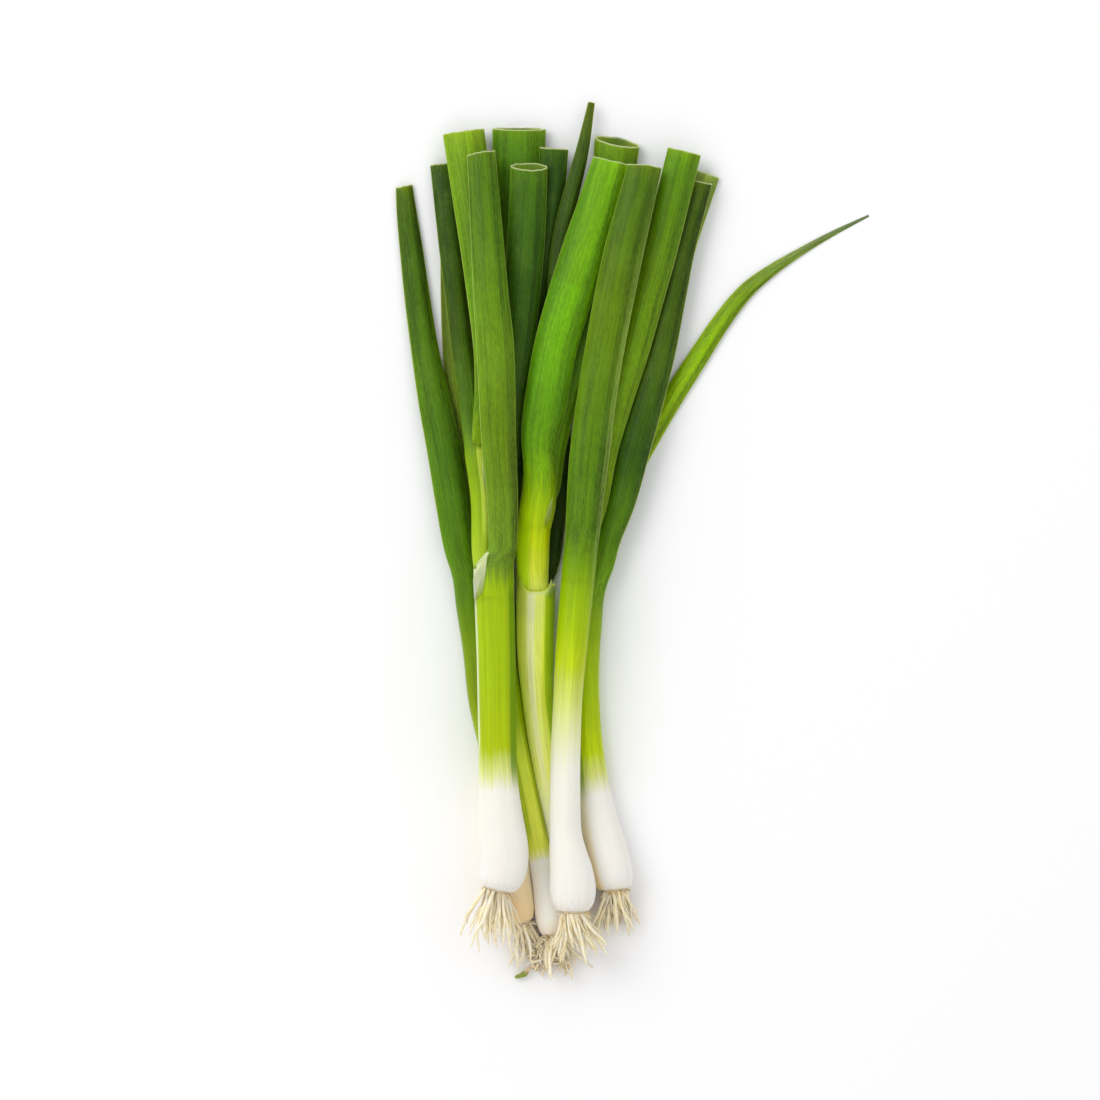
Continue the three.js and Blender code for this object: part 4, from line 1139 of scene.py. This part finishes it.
def skin_material(name, looks):
    """Skin of a stem that turns into a leaf at one place: a gradient with ragged streaks, fine veins
    lengthwise, painted shade on the right flank, and on the leaf a waxy bloom and a painted highlight along
    each fold. Inside a hollow the colour is painted shade."""
    graph = Graph(name)
    skin = graph.attribute("skin", "Vector")
    side, pale, inside, edge = (graph.attribute(label) for label in ("side", "pale", "inside", "edge"))
    place = graph.node("SeparateXYZ", skin).outputs[2]
    leaf = graph.span(place, looks.leaf_at - 6, looks.leaf_at + 12)
    green = graph.span(place, *looks.green)
    noises = (LONG_VEINS, DASHES, BROAD, BANDS, CLOUD, SPECK)
    long_veins, dashes, broad, bands, cloud, speck = (graph.noise(skin, *noise) for noise in noises)
    shift = graph.times(graph.plus(broad, -0.5), 4 * looks.ragged)
    colour = graph.ramp(graph.plus(place, shift), looks.stops)
    for stripe in looks.stripes:
        colour = graph.tint(cover(graph, stripe, side, place), colour, stripe.tint)
    veins = graph.plus(long_veins, graph.times(graph.plus(dashes, -0.5), leaf, 0.8))
    depth = graph.plus(graph.times(green, 0.09), graph.times(leaf, 0.13), 0.012)
    change = graph.plus(
        graph.span(veins, 0.34, 0.68, -1.0, 0.8),
        graph.span(cloud, 0.35, 0.65, -0.35, 0.2),
        graph.span(bands, 0.38, 0.62, -0.6, 0.7),
        # painted shade: the right flank drawn darker
        graph.span(side, 0.25, 1.0, 0.0, FLANK_SHADE),
    )
    colour = graph.mix(1.0, colour, graph.plus(graph.times(change, depth), 1.0), "MULTIPLY")
    bloom = graph.times(graph.span(cloud, 0.44, 0.62), graph.span(speck, 0.46, 0.62), leaf)
    colour = graph.tint(graph.times(bloom, looks.wax), colour, WAX)
    # painted highlight along the fold at either side of a leaf
    flank = graph.node("Math", side, operation="ABSOLUTE").outputs[0]
    colour = graph.tint(graph.times(graph.span(flank, 0.95, 0.99), leaf, 0.5), colour, FOLD_HIGHLIGHT)
    colour = graph.tint(pale, colour, PALE)
    # painted shade inside a hollow leaf
    colour = graph.mix(graph.span(inside, 0.4, 0.9), colour, graph.ramp(graph.times(edge, -1.0), INNER_SHADE))
    colour = graph.tint(graph.span(edge, 0.6, 0.0, 0.0, 0.9), colour, BARE_EDGE)
    height = graph.times(graph.plus(veins, graph.times(speck, 0.3)), green)
    return graph.finish(
        Base_Color=colour,
        Roughness=graph.plus(graph.times(bloom, 0.2), graph.span(leaf, 0.0, 1.0, 0.36, 0.42)),
        Normal=graph.bump(height, VEIN_DEPTH),
        Specular_IOR_Level=0.16,
        Subsurface_Weight=0.5,
        Subsurface_Scale=0.005,
        Subsurface_Radius=(1.0, 0.85, 0.5),
    )


def root_material():
    """Cream roots with duller tips, and earth in the button they grow from."""
    graph = Graph("root")
    skin = graph.attribute("skin", "Vector")
    speck = graph.noise(skin, *ROOT_SPECK)
    colour = graph.ramp(graph.noise(skin, *ROOT_CLOUD), ROOT_CREAMS)
    colour = graph.tint(graph.span(graph.attribute("edge"), 3.0, 0.0, 0.0, 0.25), colour, ROOT_END)
    brown = graph.times(graph.attribute("pale"), graph.span(speck, 0.35, 0.65, 0.2, 1.0))
    colour = graph.tint(graph.chain("MINIMUM", brown, 0.9), colour, EARTH)
    colour = graph.tint(graph.attribute("inside"), colour, ROOT_GREEN)
    return graph.finish(
        Base_Color=colour,
        Roughness=0.62,
        Normal=graph.bump(speck, ROOT_DEPTH),
        Specular_IOR_Level=0.2,
        Subsurface_Weight=0.4,
        Subsurface_Scale=0.002,
        Subsurface_Radius=(1.0, 0.85, 0.6),
    )


# A run of skin: its gradient from the lowest place upwards, where it turns from stem to leaf, how waxy the
# leaf is, how ragged the gradient, between which places its veins set in, and its stripes.
Skin = namedtuple(
    "Skin", "stops leaf_at wax ragged green stripes", defaults=(-200, 0.25, 3.0, (-300, -299), ())
)
SKINS = {
    "a": Skin(
        [
            (-118, BULB_SHADE), (-114, BULB_WHITE), (-84, (250, 248, 236)), (-78, (230, 236, 150)),
            (-70, (186, 207, 10)), (-48, (178, 207, 4)), (-26, (174, 202, 4)), (-15, (166, 198, 8)),
            (-9, (124, 160, 44)), (4, (114, 148, 38)), (40, (108, 142, 24)), (65, (114, 152, 34)),
            (100, (98, 142, 10)), (131, (90, 134, 2)),
        ],
        -13, 0.36, 3.0, (-86, -74), [
            Stripe((236, 243, 196), 0.9, (-1.3, -0.42), (-36, -8.6), 0.055, 0.6, 0.06),
            Stripe((232, 241, 180), 0.9, (-1.3, -0.87), (-9.6, -3.2), -0.084, 0.8, 0.06, start=1.0),
            Stripe((236, 243, 196), 0.8, (-1.3, -0.93), (-76, -12), soft=0.05),
            # painted shade on the right flank of the stem
            Stripe((112, 158, 1), 0.8, (0.76, 1.3), (-86, -8)),
        ],
    ),
    "a_neck": Skin(
        [
            (-20, (214, 226, 120)), (-6, (178, 206, 50)), (7, (160, 194, 14)), (28, (138, 174, 6)),
            (37, (92, 132, 10)), (70, (76, 106, 14)), (128, (60, 92, 2)),
        ],
        33, 0.4, 2.0, stripes=[
            Stripe((222, 244, 96), 0.85, (0.14, 1.3), (-4, 33), fade=3),
        ],
    ),
    "a_leaf_2": Skin(
        [(29, (156, 192, 30)), (45, (112, 154, 14)), (90, (108, 154, 20)), (139, (130, 174, 34))]
    ),
    "b": Skin(
        [
            (-133, (254, 236, 214)), (-128, (266, 262, 250)), (-108, (268, 266, 256)),
            (-106.6, (262, 268, 190)), (-104, (256, 266, 110)), (-76, (250, 266, 90)), (-60, (180, 210, 20)),
            (-24, (120, 160, 10)), (20, (66, 102, 1)), (90, (66, 104, 1)), (127, (76, 120, 1)),
        ],
        -22, 0.35, 0.6, (-110, -105), [
            # painted shade on both flanks of the stem
            Stripe((160, 200, 4), 0.6, (-1.3, -0.4), (-107, -50)),
            Stripe((170, 190, 20), 0.6, (0.72, 1.3), (-107, -50)),
        ],
    ),
    "b_leaf_2": Skin([(-24, (120, 160, 20)), (20, (84, 126, 4)), (100, (96, 142, 6)), (140, (78, 134, 1))]),
    "b_leaf_3": Skin([(-24, (120, 160, 20)), (20, (60, 96, 1)), (133, (58, 94, 2))]),
    "c": Skin(
        [
            (-125, BULB_SHADE), (-121, BULB_WHITE), (-78, (250, 249, 236)), (-66, (240, 243, 190)),
            (-54, (230, 240, 130)), (-42, (206, 225, 40)), (-32, (182, 211, 2)), (-18, (160, 196, 1)),
            (-7, (128, 170, 2)), (3, (98, 138, 2)), (20, (94, 136, 4)), (80, (106, 140, 14)),
            (127, (80, 118, 2)),
        ],
        -8, 0.4, 4.0, (-70, -48), [
            # painted highlight along the right edge, over a pale waxy band
            Stripe((162, 196, 84), 0.55, (0.8, 1.3), (-12, 124), fade=70, soft=0.08),
        ],
    ),
    "c_leaf_2": Skin(
        [(-10, (156, 192, 20)), (30, (122, 162, 14)), (90, (112, 152, 14)), (132, (98, 152, 4))]
    ),
    "d": Skin(
        [
            (-118, BULB_SHADE), (-114, BULB_WHITE), (-86, (250, 248, 238)), (-79, (228, 234, 130)),
            (-72, (204, 226, 14)), (-50, (188, 218, 12)), (-30, (158, 192, 24)), (-14, (122, 168, 6)),
            (0, (96, 140, 2)), (30, (60, 96, 1)), (64, (78, 108, 12)), (122, (74, 102, 18)),
        ],
        -24, 0.35, 1.4, (-88, -76), [
            # painted warm shade and bounce light on the bulb's left flank, strongest in the crevice at its
            # lower left
            Stripe((266, 246, 200), 0.6, (-1.3, -0.7), (-126, -74), fade=30, soft=0.25),
            Stripe((250, 200, 104), 0.55, (-1.3, -0.82), (-134, -98), fade=16, soft=0.16),
            # painted shade on the left flank, where the next stem lies over it
            Stripe((120, 172, 2), 0.7, (-1.3, -0.6), (-90, -30)),
        ],
    ),
    "d_leaf_2": Skin([(-26, (150, 190, 40)), (40, (130, 172, 20)), (125, (156, 188, 76))]),
    "d_leaf_3": Skin(
        [
            (-30, (170, 206, 20)), (26, (158, 196, 2)), (68, (148, 192, 2)), (84, (136, 172, 40)),
            (100, (124, 144, 82)), (111, (106, 124, 86)),
        ],
        -200, 0.3, 2.0, stripes=[
            Stripe((118, 156, 10), 0.5, (0.35, 1.3), (0, 124)),
        ],
    ),
    "e": Skin(
        [
            (-122, BULB_SHADE), (-118, (262, 258, 240)), (-92, (264, 264, 220)), (-78, (258, 264, 140)),
            (-56, (250, 262, 90)), (-36, (246, 260, 80)), (-17, (248, 262, 90)),
        ],
        100, 0.0, 2.0, (-84, -70), [
            # painted light on the left flank, which lifts it out of the shade of the plant beside it
            Stripe((256, 268, 90), 0.7, (-1.3, -0.45), (-60, -4), soft=0.25),
            # painted shade on the right flank beside the next stem
            Stripe((184, 222, 16), 0.85, (0.55, 1.3), (-84, -4), fade=1),
            # the sheath's pale skin down its middle, with a painted highlight over it
            Stripe((254, 262, 150), 0.6, (-0.4, 0.3), (-80, -17.4), 0.006, 0.5, 0.3),
            Stripe((268, 271, 196), 0.85, (-0.36, -0.05), (-90, -17.4), 0.003, 0.5, 0.08),
        ],
    ),
    "e_neck": Skin(
        [
            (-18, (250, 258, 120)), (-9, (240, 252, 70)), (0, (222, 242, 20)), (12, (178, 212, 2)),
            (24, (136, 186, 1)), (34, (110, 162, 1)), (50, (104, 160, 1)), (66, (116, 176, 2)),
            (129, (122, 186, 2)),
        ],
        16, 0.12, 3.0, stripes=[
            Stripe((84, 138, 2), 0.6, (-1.3, -0.72), (24, 140)),
            # painted light on the left flank, which lifts it out of the shade of the leaf beside it
            Stripe((214, 262, 20), 0.8, (-1.3, -0.4), (-36, 20), fade=20, soft=0.3),
        ],
    ),
    "e_leaf_2": Skin([(8, (176, 210, 6)), (24, (122, 170, 2)), (60, (96, 144, 2)), (136, (102, 148, 4))]),
    "e_leaf_3": Skin([(-20, (60, 84, 4)), (60, (56, 88, 2)), (149, (72, 98, 30))]),
    "f": Skin(
        [
            # the tan bulb is painted warm shade and bounce light, where it lies under the plants above
            (-129, (266, 230, 180)), (-115, (270, 248, 206)), (-88, (262, 250, 196)), (-70, (176, 200, 50)),
            (-56, (146, 170, 30)), (-36, (130, 162, 16)), (-18, (100, 142, 12)), (0, (92, 136, 8)),
            (30, (84, 126, 2)), (64, (90, 130, 20)), (104, (80, 114, 2)), (121, (92, 124, 16)),
        ],
        -20, 0.38, 3.0, (-90, -70),
    ),
    "f_leaf_2": Skin([(-25, (120, 150, 40)), (103, (118, 140, 40))]),
}


# Making the object.
LIGHT_LEAVES = ("a_leaf_2", "d_leaf_2", "d_leaf_3", "c_leaf_2", "e_leaf_1")
OPEN_SHEATH = "e_shank"  # the stem whose mouth stands open round the next one


def skin_of(piece):
    """The skin of a piece: its own, or that of the stem that it goes on from."""
    source = piece.host if piece.name in MERGES else piece
    return skins[source.name.removesuffix("_shank")]


def make_piece(piece, seed):
    """A leaf, or a whole stem with its neck and its tongues."""
    surface = Surface()
    rng = np.random.default_rng(seed)
    if piece.host:
        add_leaf(surface, piece, rng)
        slot = "light_leaf" if piece.name in LIGHT_LEAVES else "dark_leaf"
        surface.finish(piece.name, slot, skin_of(piece))
        return
    stretches = {piece.name: piece}
    stretches.update((neck.name, neck) for neck in PIECES if neck.neck and neck.host is piece)
    for slot, stretch in enumerate(stretches.values()):
        add_stem(surface, stretch, rng, stretch.name != OPEN_SHEATH, slot)
    for name, *shape in TONGUES:
        if name in stretches:
            add_tongue(surface, stretches[name], *shape, slot=list(stretches).index(name))
    surface.finish(piece.name, "bulb", *map(skin_of, stretches.values()))


lay_pieces()
skins = {label: skin_material(f"skin_{label}", looks) for label, looks in SKINS.items()}
for number, piece in enumerate(PIECES, SURFACE_SEED):
    if not piece.neck:
        make_piece(piece, number)
make_tufts(root_material())


# The floor, the light and the camera.
FLOOR_SIZE = 6
FLOOR_DROP = 0.0001  # how far the floor lies under the bunch
CAMERA_HEIGHT = 3.0
VIEW_WIDTH = 0.374  # what the picture's width shows of the floor
VIEW_MIDDLE = (-0.0279, -0.0027)
SENSOR = 36
FAR = 50
KEY_PLACE = (-1.0, 0.8, 1.3)
KEY_SIZE = 1.3
KEY_ENERGY = 12
SKY_COLOUR = (0.985, 0.985, 1, 1)
SKY_STRENGTH = 0.86


def make_floor():
    mesh = bpy.data.meshes.new("floor")
    ends = (-FLOOR_SIZE, FLOOR_SIZE)
    mesh.from_pydata([(x, y, -FLOOR_DROP) for x in ends for y in ends], [], [(0, 2, 3, 1)])
    floor = add_object("floor", mesh)
    looks = {"Base_Color": (0.95, 0.95, 0.95, 1), "Roughness": 0.9, "Specular_IOR_Level": 0.1}
    mesh.materials.append(Graph("floor").finish(**looks))


def make_light():
    light = bpy.data.lights.new("key", "AREA")
    light.shape = "DISK"
    light.size = KEY_SIZE
    light.energy = KEY_ENERGY
    lamp = add_object("key", light)
    lamp.location = KEY_PLACE
    lamp.rotation_mode = "QUATERNION"
    lamp.rotation_quaternion = (-Vector(KEY_PLACE)).to_track_quat("-Z", "Y")


def make_world():
    world = bpy.data.worlds.new("studio")
    bpy.context.scene.world = world
    world.use_nodes = True
    background = world.node_tree.nodes["Background"]
    background.inputs["Color"].default_value = SKY_COLOUR
    background.inputs["Strength"].default_value = SKY_STRENGTH


def make_camera():
    camera = bpy.data.cameras.new("camera")
    camera.sensor_width = SENSOR
    camera.lens = SENSOR * CAMERA_HEIGHT / VIEW_WIDTH
    camera.clip_end = FAR
    eye = add_object("camera", camera)
    eye.location = (*VIEW_MIDDLE, CAMERA_HEIGHT)
    bpy.context.scene.camera = eye


make_floor()
make_world()
make_light()
make_camera()
bpy.context.scene.view_settings.view_transform = "Standard"
